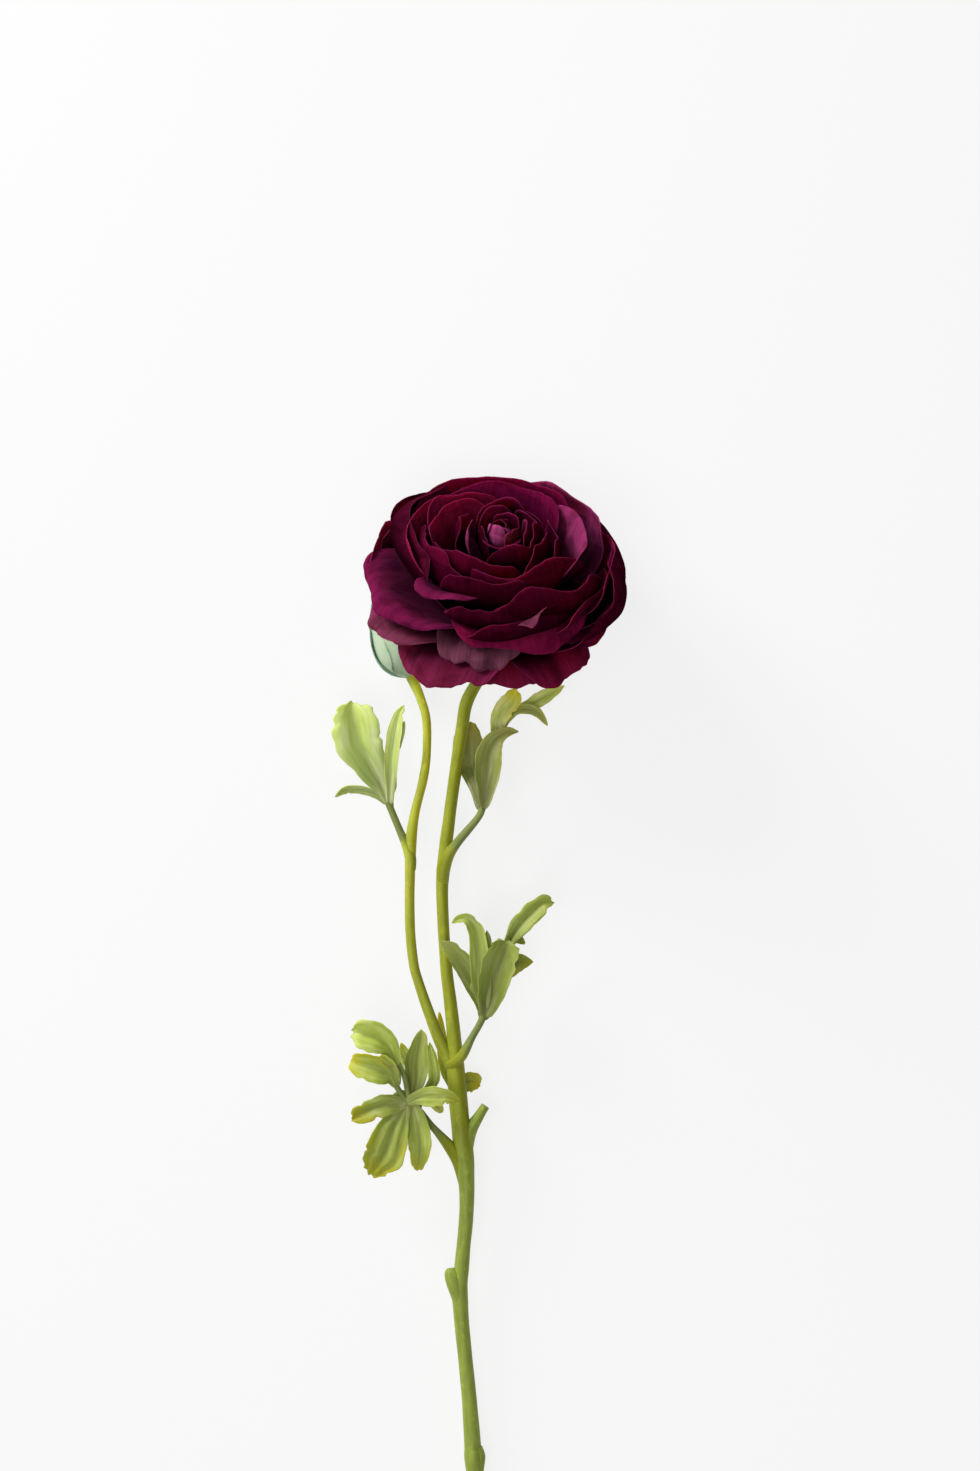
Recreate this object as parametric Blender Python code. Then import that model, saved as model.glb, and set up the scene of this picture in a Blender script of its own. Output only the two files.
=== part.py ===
"""A Persian buttercup lying on a table: an open bloom, a closed bud, their two stems and five divided leaves.

The flower lies along +Y with its cut end at -Y, its bloom at +Y and the table at z = 0.
Lengths in the lists below are millimetres; MM turns them into metres.
"""
import math
from typing import NamedTuple

import bmesh
import bpy
from mathutils import Matrix, Vector, noise

MM = 0.001
GAP = 0.3                       # between neighbouring pieces
PETAL_THICKNESS = 0.7
LEAF_THICKNESS = 0.8
TABLE_DEPTH = 20.0              # of the slab that gives the flat resting spots
TABLE_WIDTH = 600.0

BLOOM_CENTRE = (5.1, 149.5, 30.2)
BLOOM_RISE = math.radians(40)   # the bloom's axis rises from the table by this angle
HEART_SIZE = (26.0, 26.0, 18.0)  # half sizes of the solid middle that carries the petals
HEART_HEIGHT = 2.0

BUD_BASE = (-20.9, 123.8, 7.3)
BUD_LENGTH = 24.5
BUD_RADIUS = 6.5
BUD_LEAN = math.radians(25)     # to the left of +Y
BUD_DROP = math.radians(3)      # its tip is lower than its base

STALK_SIDES = 7
STALKLET_SIDES = 5

# The outline and the waves of a petal
CLAW_WIDTH = 0.2                # the width at the root, as a share of the full width
SHOULDER = 0.55                 # how far along the petal reaches its full width
MAX_WRAP = 1.5                  # radians that a petal may bend round the axis to each side
LIP_START = 0.75                # how far along its rim starts to roll out
LIP_DROP = 0.35                 # how far the rolled rim sinks, as a share of how far it rolls
NOTCH = 0.11                    # depth of the rim's slow waves, as a share of the length
TOOTH = 0.02                    # depth of the rim's small teeth
SEED_STEP = 5.37                # sets the waves of neighbouring petals apart

# Cells across and along each kind of petal
HEART_CELLS = (2, 2)
CUP_CELLS = (4, 2)
BALL_CELLS = (4, 3)
SKIRT_CELLS = (4, 3)
CALYX_CELLS = (2, 3)
BUD_CELLS = (4, 3)


class Petal(NamedTuple):
    """A petal round the flower's axis, with its radii and heights measured from the bloom's centre."""
    turn: float                 # degrees round the axis, from the front towards +X
    rim: tuple                  # radius and height of the rim's middle
    width: float
    root: tuple = None
    belly: tuple = None         # what the petal passes half way up
    lip: float = 0.0            # how far the rim rolls out
    tilt: float = 0.0           # how much higher the right end of the rim is
    skew: float = 0.0           # how much further out the right end is, as a share of the radius
    ripple: float = 0.6
    pleat: float = 0.0
    pleats: int = 9
    crown: float = 0.36         # how much lower the rim's ends are, as a share of the length


HEART_PETALS = (
    Petal(-25, (0.4, 24.0), 7, root=(1, 12), belly=(3.6, 18), ripple=0.1, crown=0.5),
    Petal(100, (1.6, 23.0), 9, root=(1, 10), belly=(4.4, 18), ripple=0.1),
    Petal(215, (1.8, 24.0), 9, root=(1, 10), belly=(4.2, 18), ripple=0.1),
    Petal(45, (4.6, 22.6), 13, ripple=0.3),
    Petal(160, (4.8, 24.2), 13, ripple=0.4),
    Petal(285, (4.6, 23.6), 13, ripple=0.4),
    Petal(5, (6.6, 21.4), 16, ripple=0.3),
    Petal(90, (7.8, 23.4), 15, ripple=0.5),
    Petal(180, (7.4, 24.6), 16, ripple=0.5),
    Petal(268, (7.6, 23.8), 15, ripple=0.5),
    Petal(38, (9.4, 21.8), 22, ripple=0.4),
    Petal(112, (11.0, 23.8), 20, ripple=0.5),
    Petal(176, (10.8, 24.4), 21, ripple=0.5),
    Petal(250, (11.2, 24.0), 20, ripple=0.6),
    Petal(322, (9.2, 21.6), 24, ripple=0.4),
)
CUP_PETALS = (
    Petal(-44, (13.2, 21.6), 30, skew=-0.3, ripple=0.5),
    Petal(32, (12.8, 21.4), 26, skew=0.15, ripple=0.5),
    Petal(104, (15.8, 22.6), 28, ripple=0.7),
    Petal(166, (17.2, 23.4), 30, ripple=0.8),
    Petal(236, (17.0, 23.0), 30, ripple=0.8),
    Petal(-128, (22.0, 22.4), 40, ripple=0.7),
    Petal(-75, (20.0, 21.8), 44, skew=-0.4, tilt=-1.0, crown=0.24),
    Petal(36, (19.6, 19.8), 42, skew=0.22, tilt=1.0, ripple=0.9, crown=0.3),
    Petal(106, (20.8, 21.6), 38, skew=0.25, ripple=0.7),
    Petal(166, (24.5, 22.8), 48, ripple=0.4, pleat=0.35, pleats=13, crown=0.3),
    Petal(226, (24.0, 22.4), 42),
    Petal(-4, (20.2, 18.2), 38, ripple=0.8, crown=0.3),
    Petal(-112, (28.0, 21.5), 72, lip=1.2, skew=-0.25, tilt=-1.8, crown=0.22, ripple=0.8),
    Petal(112, (28.4, 20.2), 62, lip=1.0, skew=0.25, tilt=1.5, crown=0.22, ripple=0.8),
    Petal(182, (29.0, 21.0), 58, lip=0.8, crown=0.24),
)
BALL_PETALS = (
    Petal(50, (25.5, 14.8), 50, skew=0.22, tilt=2.2, ripple=0.9, crown=0.34),
    Petal(-20, (25.0, 13.4), 28, ripple=0.9, crown=0.42),
    Petal(-136, (35.5, 16.8), 60, lip=1.5, ripple=1.0, crown=0.25),
    Petal(140, (34.0, 16.8), 60, lip=1.5, ripple=1.0, crown=0.25),
    Petal(184, (32.4, 18.4), 60, lip=1.5, ripple=0.9, crown=0.25),
    Petal(-46, (26.5, 11.5), 44, skew=-0.2, ripple=1.0, crown=0.34),
    Petal(16, (28.0, 8.0), 46, ripple=1.2, crown=0.34),
    Petal(-72, (38.6, -3.0), 58, root=(7, -9), belly=(31.5, 6.0), ripple=2.0, crown=0.25, skew=-0.12),
    Petal(-108, (38.6, 9.0), 50, root=(7, -9), belly=(29, -2), lip=1.0, ripple=1.0),
    Petal(110, (39.2, 9.0), 60, root=(7, -9), belly=(30, -3), ripple=1.1, crown=0.28),
    Petal(64, (34.5, 4.0), 52, root=(7, -9), belly=(27, -4), ripple=1.2, skew=0.1),
    Petal(158, (36.0, 11.0), 50, root=(7, -8), belly=(30, -1), lip=1.0, ripple=1.0),
    Petal(-156, (36.0, 11.0), 50, root=(7, -8), belly=(30, -1), lip=1.0, ripple=1.0),
)
SKIRT_PETALS = (
    Petal(22, (32.0, -2.0), 46, root=(6, -11), belly=(24, 2.5), ripple=2.0, crown=0.3),
    Petal(-10, (32.0, -7.5), 32, root=(6, -12), belly=(23, -1.5), pleat=1.0, pleats=7, crown=0.4),
    Petal(74, (37.0, -5.0), 44, root=(6, -11), belly=(26, -2), ripple=1.6),
    Petal(-80, (37.8, -6.5), 40, root=(6, -11), belly=(26, -2), ripple=1.8),
    Petal(126, (37.5, -1.0), 48, root=(6, -11), belly=(27, -6), ripple=1.2),
    Petal(180, (36.5, 2.0), 48, root=(6, -11), belly=(28, -6), ripple=1.2),
    Petal(-130, (37.5, -1.0), 48, root=(6, -11), belly=(27, -6), ripple=1.2),
    Petal(-25, (36.0, -11.0), 44, root=(5, -12.5), belly=(24, -6), ripple=1.6, pleat=0.5, pleats=6, crown=0.3),
    Petal(8, (33.5, -12.8), 36, root=(5, -12.5), belly=(24, -8), ripple=1.5, pleat=0.4, pleats=6, crown=0.3),
    Petal(42, (38.4, -11.5), 36, root=(5, -12.5), belly=(25, -7), ripple=1.8, pleat=0.4, pleats=5, crown=0.3),
    Petal(-46, (34.0, -13.0), 28, root=(5, -12.5), belly=(24, -8), ripple=1.0),
    Petal(92, (36.5, -9.0), 42, root=(5, -12.5), belly=(25, -8), ripple=1.4),
    Petal(150, (38.6, -7.0), 44, root=(5, -12.5), belly=(26, -10), ripple=0.8),
    Petal(210, (38.6, -7.0), 44, root=(5, -12.5), belly=(26, -10), ripple=0.8),
    Petal(262, (36.0, -10.0), 38, root=(5, -12.5), belly=(25, -8), ripple=1.2),
)

RECEPTACLE_SIZE = (4.6, 4.6, 3.2)
RECEPTACLE_HEIGHT = -16.0 - GAP - RECEPTACLE_SIZE[2]
CALYX_SEPALS = tuple(
    Petal(36 + 72 * i, (14.5, -17.0), 9, root=(2.0, -19.2), belly=(8.5, -16.4), ripple=0.5, crown=0.6)
    for i in range(5)
)
BUD_SEPALS = tuple(
    Petal(turn, (rim, BUD_LENGTH), 17, root=(1.6, 0.6), belly=(7.1, 9.5), ripple=0.2, crown=0.5, skew=0.08)
    for turn, rim in ((20, 1.6), (110, 1.4), (200, 1.9), (290, 1.5))
)


class Stem(NamedTuple):
    """A round stem through its stations of x, y, z and radius, with its number of steps and of sides."""
    stations: tuple
    steps: int
    sides: int


FLOWER_STEM = Stem((
    (5.1, 131.6, 14.9, 1.9), (4.2, 129.0, 13.2, 1.9), (1.0, 123.5, 11.6, 1.95), (-3.3, 115.5, 11.0, 1.95),
    (-4.9, 106.7, 11.0, 2.0), (-7.2, 91.0, 11.0, 1.9), (-8.6, 80.8, 11.0, 1.9), (-10.4, 66.2, 11.0, 2.1),
    (-11.0, 54.0, 11.0, 1.85), (-9.9, 35.0, 11.0, 1.85), (-8.6, 22.5, 11.0, 2.0), (-7.5, 13.2, 11.0, 2.2),
    (-7.0, 3.8, 11.0, 2.65), (-6.4, -4.0, 11.0, 2.9), (-5.6, -13.4, 10.5, 2.95), (-4.4, -24.4, 10.0, 3.1),
    (-3.7, -30.7, 9.5, 2.75), (-3.4, -43.0, 8.8, 2.25), (-4.9, -60.6, 8.0, 2.3), (-5.6, -68.5, 7.6, 2.5),
    (-4.7, -81.1, 7.0, 2.3), (-2.6, -103.0, 5.6, 2.35), (-1.2, -122.0, 4.6, 2.7), (-0.2, -134.9, 4.0, 2.5),
    (0.6, -154.0, 3.2, 2.4), (0.4, -185.0, 2.2, 2.35),
), steps=50, sides=9)
STUB = Stem((
    (-4.5, -23.0, 10.5, 1.6), (-1.5, -16.5, 12.0, 1.2), (0.3, -12.8, 13.0, 1.2), (2.0, -10.3, 13.5, 1.0),
), steps=6, sides=STALK_SIDES)
BUD_STEM = Stem((
    (-20.7, 123.4, 7.3, 1.75), (-19.6, 120.9, 8.2, 1.6), (-17.9, 117.0, 9.5, 1.4), (-16.0, 110.0, 10.5, 1.35),
    (-15.8, 100.0, 11.2, 1.35), (-17.0, 91.0, 12.0, 1.4), (-19.5, 80.9, 12.0, 1.45), (-20.7, 72.0, 12.0, 1.75),
    (-21.1, 58.0, 12.0, 1.55), (-21.0, 46.0, 12.0, 1.55), (-20.0, 34.4, 12.0, 1.55), (-18.4, 28.2, 12.0, 1.55),
    (-15.1, 18.7, 12.0, 1.7), (-11.8, 10.0, 11.5, 1.9), (-8.9, 3.2, 11.0, 2.0),
), steps=30, sides=STALK_SIDES)


class Lobe(NamedTuple):
    """A leaf lobe, swept through its stations: x, y, z and half its width."""
    stations: tuple
    roll: float = 0.0           # degrees that its face leans sideways from facing up, to its left
    cup: float = 0.25           # how far its edges rise, as a share of half its width
    ripple: float = 0.3


class Leaf(NamedTuple):
    """A divided leaf: its leaf stalk, the finer stalks of its leaflets, and its lobes."""
    stalk: tuple
    stalklets: tuple
    lobes: tuple


LEAVES = {
    "leaf_bud_stem": Leaf(
        stalk=((-20.6, 69, 11.5, 1.3), (-23.5, 73.5, 11.7, 1.2), (-25.5, 78.5, 12, 1), (-28, 84.5, 12, 1)),
        stalklets=(),
        lobes=(
            Lobe(((-28.2, 84, 12, 0.9), (-30.5, 90, 13, 2.3), (-34.5, 98, 15, 5.3), (-37, 104, 16, 6.9),
                  (-38.3, 109, 15.5, 6.6), (-39, 113, 14.5, 4.4), (-39.3, 115.5, 13.5, 1.4)), cup=0.22),
            Lobe(((-27.6, 84, 12, 0.9), (-27, 89.5, 13.5, 1.4), (-26.5, 96, 15, 1.7), (-25.3, 103.5, 16, 2.4),
                  (-24.3, 109, 17, 2), (-23, 112.5, 17.5, 1), (-22, 114.8, 17.5, 0.5)), cup=0.4),
            Lobe(((-25, 103, 16, 1.2), (-23.5, 107, 16.5, 0.9), (-22.9, 109.5, 16.5, 0.5))),
            Lobe(((-28, 84, 12, 0.9), (-30.5, 86, 11.5, 1.3), (-33.5, 87.3, 11, 1.4), (-37.5, 88, 11, 1.3),
                  (-41.5, 88, 11.5, 1), (-44.5, 86, 11, 0.5)), roll=50),
        ),
    ),
    "leaf_upper": Leaf(
        stalk=((-9.5, 66, 12, 1.6), (-7, 70.5, 13, 1.45), (-3.5, 75, 15, 1.25), (0.5, 80, 16.5, 1.1),
               (1.5, 82.3, 17, 1.1)),
        stalklets=(
            ((1.5, 81.5, 16.5, 0.9), (4, 91, 15.5, 0.8), (5.5, 100.5, 15, 0.8), (6.7, 107, 15.3, 0.8)),
        ),
        lobes=(
            Lobe(((1, 81.5, 16.5, 1), (-0.5, 89, 11.5, 2.2), (-2.5, 96.5, 6.6, 4.1), (-3, 103.5, 5.6, 4.4),
                  (-1.5, 109, 6, 1.7)), cup=0.1, ripple=0.15),
            Lobe(((2, 82, 17, 1), (3, 88, 18.5, 2.5), (3.5, 94.5, 19.5, 3.9), (4, 100, 19.5, 3.7),
                  (6, 104, 19, 2.2), (9.5, 106, 18.5, 1.3), (12.5, 106.5, 18, 0.6)), cup=0.5),
            Lobe(((5.5, 104, 15.5, 0.8), (6.5, 109.5, 16.5, 2.2), (8, 113, 17.5, 2.8), (10.5, 116, 18, 2.9),
                  (12, 119, 18, 1.2)), cup=0.35),
            Lobe(((6.2, 105.5, 15.3, 0.8), (9.5, 110.5, 17, 1.3), (12.5, 113, 18, 1.6), (16, 113, 18, 1.7),
                  (19, 111.5, 17, 1.3), (21.5, 108.5, 15.5, 0.6)), roll=-35),
            Lobe(((11.5, 112, 17.5, 0.9), (15, 113.8, 15.5, 1.3), (18.5, 115.5, 14, 2.2), (22.5, 118, 12, 1.7),
                  (27, 120.3, 10, 0.5)), cup=0.4),
        ),
    ),
    "leaf_middle": Leaf(
        stalk=((-6, 3, 12, 1.6), (-4, 6.3, 14, 1.2), (-1.5, 11.5, 15, 0.95), (1, 16, 16, 0.95),
               (2.2, 19.5, 16.5, 1.2)),
        stalklets=(),
        lobes=(
            Lobe(((2, 18.5, 16.5, 1.2), (0.5, 22.5, 16.5, 1.7), (-1, 27.5, 17, 2.5), (-3.5, 33.5, 17.5, 2.8),
                  (-7, 38, 17.5, 2.5), (-11.5, 41, 17, 0.9)), cup=0.3),
            Lobe(((2.3, 19, 17, 1.2), (1.5, 27.5, 18.5, 2.8), (1, 35, 19.5, 2.9), (0.5, 41.5, 20.5, 2.5),
                  (-0.5, 46, 21.5, 2.2), (-2.5, 48.5, 22, 1.5), (-5, 48.5, 21.5, 1.1), (-7.5, 47.5, 20.5, 0.6)),
                 cup=0.3),
            Lobe(((3, 22, 16, 1), (3.5, 34, 16, 1.6), (3, 44, 16, 0.9))),
            Lobe(((2.5, 19.5, 17, 1.2), (5, 27.5, 18.5, 3.4), (6.5, 34, 20.5, 4.2), (8, 39, 22, 4.2),
                  (9, 42, 22.5, 3.4)), cup=0.55),
            Lobe(((5, 28, 15.5, 1.2), (7, 34.5, 14.5, 1.4), (10, 41, 15, 1.6), (13, 46, 15.5, 2.8),
                  (17, 50, 16, 3.1), (20.5, 53, 16.5, 2.5), (23.5, 52.2, 16, 0.7)), cup=0.3),
            Lobe(((11.3, 43.5, 15.2, 1.2), (12.8, 42, 15, 1.1), (14.8, 41, 14.4, 0.6))),
            Lobe(((3.2, 22.5, 16.5, 1), (5.5, 28.5, 15.5, 1.2), (9.5, 32.5, 13, 2.8), (13, 34.5, 12, 2.5),
                  (17, 34.5, 11, 0.7)), cup=0.3),
        ),
    ),
    "leaf_lower": Leaf(
        stalk=((-4.6, -26.5, 11, 1.8), (-9, -22.3, 13, 1.4), (-12, -19, 14, 1.1), (-14.5, -16, 15, 0.95),
               (-18, -11.5, 16, 0.95), (-21, -8.7, 17, 1.1)),
        stalklets=(
            ((-21, -9, 17, 0.9), (-22.5, -1, 17.5, 0.8), (-24.5, 3.5, 18, 0.8)),
            ((-21.5, -9, 17, 0.9), (-24, -5.5, 17.7, 0.8), (-25.5, -3, 18.3, 0.8)),
        ),
        lobes=(
            Lobe(((-23.8, 2, 17.7, 0.8), (-26, 6.5, 18, 1.9), (-28, 9.5, 19, 3.4), (-31.5, 11.5, 20, 4.5),
                  (-36, 12.5, 20, 4), (-38.5, 12.7, 19, 1.6)), cup=0.3),
            Lobe(((-25, -4, 18, 0.9), (-26.5, -0.5, 19, 2.6), (-30, 1.5, 20.5, 4), (-34, 2.5, 20.5, 4),
                  (-37.5, 3.5, 19, 2.5), (-39, 4, 18, 0.8)), cup=0.35),
            Lobe(((-21.8, -9, 17, 1), (-25, -9.5, 17.5, 2.2), (-28, -10, 18, 3.3), (-31.5, -11, 18, 2.8),
                  (-35.5, -12.5, 17, 3.1), (-38.5, -14, 16, 1.3))),
            Lobe(((-22, -8.5, 17, 1.2), (-25, -13.5, 17.5, 3.1), (-27, -18.5, 18, 5.1), (-28.5, -24, 17, 6.2),
                  (-31, -28, 15, 4.3), (-33.5, -31.5, 13, 2)), cup=0.2),
            Lobe(((-21.3, -8.5, 17, 1.2), (-19, -14.5, 17, 2.9), (-18, -19.5, 16.5, 3.4), (-18, -24, 15.5, 3),
                  (-18.5, -28, 14, 1.9), (-19, -30, 13, 0.8)), cup=0.25),
            Lobe(((-22.5, -9, 17.3, 1.1), (-19, -7, 18, 1.9), (-15.5, -7, 19, 2.9), (-11.5, -7, 19.5, 2.9),
                  (-8.5, -7, 19, 1.9), (-6, -7.5, 18, 1.2)), cup=0.2),
            Lobe(((-14.5, -7.5, 18.8, 1.4), (-12, -10, 18.5, 1.1), (-11, -11.2, 18, 0.6)), cup=0.1),
            Lobe(((-21.2, -9, 17, 1.1), (-19, -1.5, 15.5, 2.5), (-19, 3, 14.5, 3.6), (-18.5, 7, 14, 2.8),
                  (-17.5, 10.5, 14, 1.9), (-17.5, 12.7, 14, 0.7)), cup=0.3),
            Lobe(((-19.5, 0, 14.8, 1.2), (-22, 5.5, 14, 1.4), (-23.5, 9, 14, 0.6)), cup=0.1),
            Lobe(((-20.5, -8.6, 16.6, 1), (-16.5, -6, 13, 1), (-13.7, -2.5, 10, 1.6), (-14, 2.5, 8, 1.7),
                  (-15, 9, 7, 0.7)), cup=0.1),
        ),
    ),
    "leaf_back": Leaf(
        stalk=((-5.8, -10, 9.6, 1.4), (-6, -8, 7.6, 1.2), (-6.3, -6, 6.3, 1)),
        stalklets=(),
        lobes=(
            Lobe(((-6.5, -7, 6.6, 1.1), (-4, -3.8, 5.5, 2.8), (-1.5, -3.5, 5, 3), (0.3, -4.5, 4.5, 1.6)),
                 cup=0.1),
            Lobe(((-6.3, -7.5, 6.6, 1.1), (-9.3, 0, 5.5, 2.2), (-11, 8, 5, 1.6), (-12, 18, 4.5, 0.7)),
                 cup=0.1),
        ),
    ),
}


def material(name, color, roughness):
    """A plain material for one sub-part."""
    result = bpy.data.materials.new(name)
    result.use_nodes = True
    shader = result.node_tree.nodes["Principled BSDF"]
    shader.inputs["Base Color"].default_value = (*color, 1)
    shader.inputs["Roughness"].default_value = roughness
    shader.inputs["Metallic"].default_value = 0
    return result


def new_object(name, bm, finish=None):
    """An object with bm's mesh, turned from millimetres into metres."""
    bm.transform(Matrix.Scale(MM, 4))
    mesh = bpy.data.meshes.new(name)
    bm.to_mesh(mesh)
    bm.free()
    if finish:
        mesh.materials.append(finish)
    result = bpy.data.objects.new(name, mesh)
    bpy.context.scene.collection.objects.link(result)
    return result


def apply_modifiers(piece):
    """Keeps the mesh that the modifiers make."""
    bpy.context.view_layer.update()
    graph = bpy.context.evaluated_depsgraph_get()
    mesh = bpy.data.meshes.new_from_object(piece.evaluated_get(graph))
    piece.modifiers.clear()
    piece.data = mesh


def fill_pockets(piece):
    """Removes the skins of the pockets that the joined shapes close off, so that the body is solid there."""
    bm = bmesh.new()
    bm.from_mesh(piece.data)
    skins = []
    left = set(bm.faces)
    while left:
        skin, edge_of = set(), [left.pop()]
        while edge_of:
            face = edge_of.pop()
            skin.add(face)
            near = {other for edge in face.edges for other in edge.link_faces} & left
            left -= near
            edge_of.extend(near)
        skins.append(skin)
    skins.sort(key=len)
    bmesh.ops.delete(bm, geom=[face for skin in skins[:-1] for face in skin], context="FACES")
    bm.to_mesh(piece.data)
    bm.free()


def fuse(piece, others):
    """Joins the others to piece as one closed body."""
    group = bpy.data.collections.new(piece.name + "_pieces")
    for other in others:
        group.objects.link(other)
    union = piece.modifiers.new("Union", "BOOLEAN")
    union.operation = "UNION"
    union.operand_type = "COLLECTION"
    union.collection = group
    union.solver = "MANIFOLD"
    apply_modifiers(piece)
    for other in others:
        bpy.data.objects.remove(other)
    bpy.data.collections.remove(group)
    fill_pockets(piece)


def cut(piece, cutter):
    """Takes the cutter's shape off piece, and removes the cutter."""
    difference = piece.modifiers.new("Difference", "BOOLEAN")
    difference.operation = "DIFFERENCE"
    difference.object = cutter
    difference.solver = "MANIFOLD"
    apply_modifiers(piece)
    bpy.data.objects.remove(cutter)


def rest_on_table(piece):
    """Presses a flat spot where piece reaches below the table."""
    bm = bmesh.new()
    bmesh.ops.create_cube(bm, size=1)
    bmesh.ops.scale(bm, vec=(TABLE_WIDTH, TABLE_WIDTH, TABLE_DEPTH), verts=bm.verts)
    bmesh.ops.translate(bm, vec=(0, 0, -TABLE_DEPTH / 2), verts=bm.verts)
    cut(piece, new_object("table_slab", bm))


def parabola(start, middle, end, t):
    """The value at t on the parabola from start through middle, half way, to end."""
    control = 2 * middle - (start + end) / 2
    return start * (1 - t) ** 2 + control * 2 * t * (1 - t) + end * t * t


def smooth_route(stations, count):
    """count + 1 stations at even steps along a smooth curve through the given ones."""
    points = [Vector(station) for station in stations]
    points = [2 * points[0] - points[1], *points, 2 * points[-1] - points[-2]]
    route = []
    for i in range(count + 1):
        whole = min(int(i / count * (len(stations) - 1)), len(stations) - 2)
        t = i / count * (len(stations) - 1) - whole
        a, b, c, d = points[whole:whole + 4]
        route.append(b + (c - a) * t / 2 + (a - 2.5 * b + 2 * c - d / 2) * t ** 2
                     + (1.5 * b - a / 2 - 1.5 * c + d / 2) * t ** 3)
    return route


def frames(route):
    """For each station of the route: its place, its direction, the level direction to its left and its up."""
    places = [Vector(station[:3]) for station in route]
    result = []
    for i, place in enumerate(places):
        along = (places[min(i + 1, len(places) - 1)] - places[max(i - 1, 0)]).normalized()
        left = Vector((0, 0, 1)).cross(along).normalized()
        result.append((place, along, left, along.cross(left)))
    return result


def tube(stem, grow=0.0):
    """A round stem with closed ends, grown all round by the given length."""
    route = smooth_route(stem.stations, stem.steps)
    spine = frames(route)
    bm = bmesh.new()
    bmesh.ops.create_grid(bm, x_segments=stem.sides, y_segments=stem.steps, size=1)
    for vert in bm.verts:
        i = round((vert.co.y + 1) / 2 * stem.steps)
        turn = math.pi * vert.co.x
        place, _, left, up = spine[i]
        vert.co = place + (route[i][3] + grow) * (math.cos(turn) * left + math.sin(turn) * up)
    bmesh.ops.remove_doubles(bm, verts=bm.verts, dist=0.001)
    bmesh.ops.holes_fill(bm, edges=bm.edges)
    bmesh.ops.recalc_face_normals(bm, faces=bm.faces)
    return bm


def thicken(bm, thickness):
    """Turns a sheet of triangles into a closed blade."""
    bmesh.ops.triangulate(bm, faces=bm.faces)
    bmesh.ops.solidify(bm, geom=bm.faces[:], thickness=thickness)
    bmesh.ops.recalc_face_normals(bm, faces=bm.faces)


def petal_profile(petal):
    """Where the petal starts, what it passes half way and where it ends, each as radius and height."""
    radius, height = petal.rim
    root = Vector(petal.root or (1 + 0.2 * radius, 11 - 0.55 * radius))
    belly = Vector(petal.belly or (0.97 * radius + 1.2, root.y + 0.42 * (height - root.y)))
    return root, belly, Vector(petal.rim)


def petal_sheet(petal, seed, cells):
    """The petal's surface round the +Z axis, with its front towards -Y."""
    root, belly, rim = petal_profile(petal)
    turn = math.radians(petal.turn)
    bm = bmesh.new()
    bmesh.ops.create_grid(bm, x_segments=cells[0], y_segments=cells[1], size=1)
    waves = {}
    for vert in bm.verts:
        side = math.sin(math.pi / 2 * vert.co.x)
        t = (vert.co.y + 1) / 2
        notch = NOTCH * noise.noise(Vector((seed, 1.6 * side, 0)))
        notch += TOOTH * noise.noise(Vector((seed, 6 * side, 4)))
        reach = t * (1 - petal.crown * (1 - math.cos(math.pi / 2 * vert.co.x)) + notch * t)
        r, h = parabola(root, belly, rim, reach)
        roll = petal.lip * max(0, (reach - LIP_START) / (1 - LIP_START)) ** 2
        r = (r + roll) * (1 + petal.skew * side * reach)
        h += petal.tilt * side * reach - LIP_DROP * roll
        spread = math.sin(math.pi / 2 * min(1, t / SHOULDER)) ** 0.9
        half = petal.width / 2 * (CLAW_WIDTH + (1 - CLAW_WIDTH) * spread)
        bend = max(r, half / MAX_WRAP)
        angle = side * half / bend
        x = bend * math.sin(angle)
        y = r - bend * (1 - math.cos(angle))
        swell = 0.5 * math.sin(1.7 * math.pi * side + seed)
        swell += 0.9 * noise.noise(Vector((seed, 1.7 * side, 1.3 * t)))
        fold = (1 - 0.5 * abs(side)) * math.sin(petal.pleats * side * math.pi / 2 + seed)
        waves[vert] = petal.ripple * t * t * swell + petal.pleat * t * fold
        vert.co = (x * math.cos(turn) + y * math.sin(turn), x * math.sin(turn) - y * math.cos(turn), h)
    bm.normal_update()
    for vert in bm.verts:
        vert.co += vert.normal * waves[vert]
    return bm


def petal_object(petal, seed, cells):
    """One petal as a closed blade."""
    bm = petal_sheet(petal, seed, cells)
    thicken(bm, PETAL_THICKNESS)
    return new_object("petal", bm)


def ball_object(name, half_sizes, centre, finish, detail=2):
    """An ellipsoid round centre."""
    bm = bmesh.new()
    bmesh.ops.create_icosphere(bm, subdivisions=detail, radius=1)
    bmesh.ops.scale(bm, vec=half_sizes, verts=bm.verts)
    bmesh.ops.translate(bm, vec=centre, verts=bm.verts)
    return new_object(name, bm, finish)


def place_on_axis(piece, seat):
    """Hangs piece on the empty that carries the bloom or the bud."""
    piece.parent = seat
    bpy.context.view_layer.update()


def make_bloom(seat):
    """The open bloom: its solid heart and every petal, sunk into it."""
    finish = material("petal", (0.075, 0.004, 0.03), 0.5)
    bloom = ball_object("bloom", HEART_SIZE, (0, 0, HEART_HEIGHT), finish, 3)
    groups = (
        (HEART_PETALS, HEART_CELLS),
        (CUP_PETALS, CUP_CELLS),
        (BALL_PETALS, BALL_CELLS),
        (SKIRT_PETALS, SKIRT_CELLS),
    )
    petals = []
    for group, cells in groups:
        for petal in group:
            petals.append(petal_object(petal, SEED_STEP * len(petals) + 1.3, cells))
    fuse(bloom, petals)
    place_on_axis(bloom, seat)
    rest_on_table(bloom)


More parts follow.
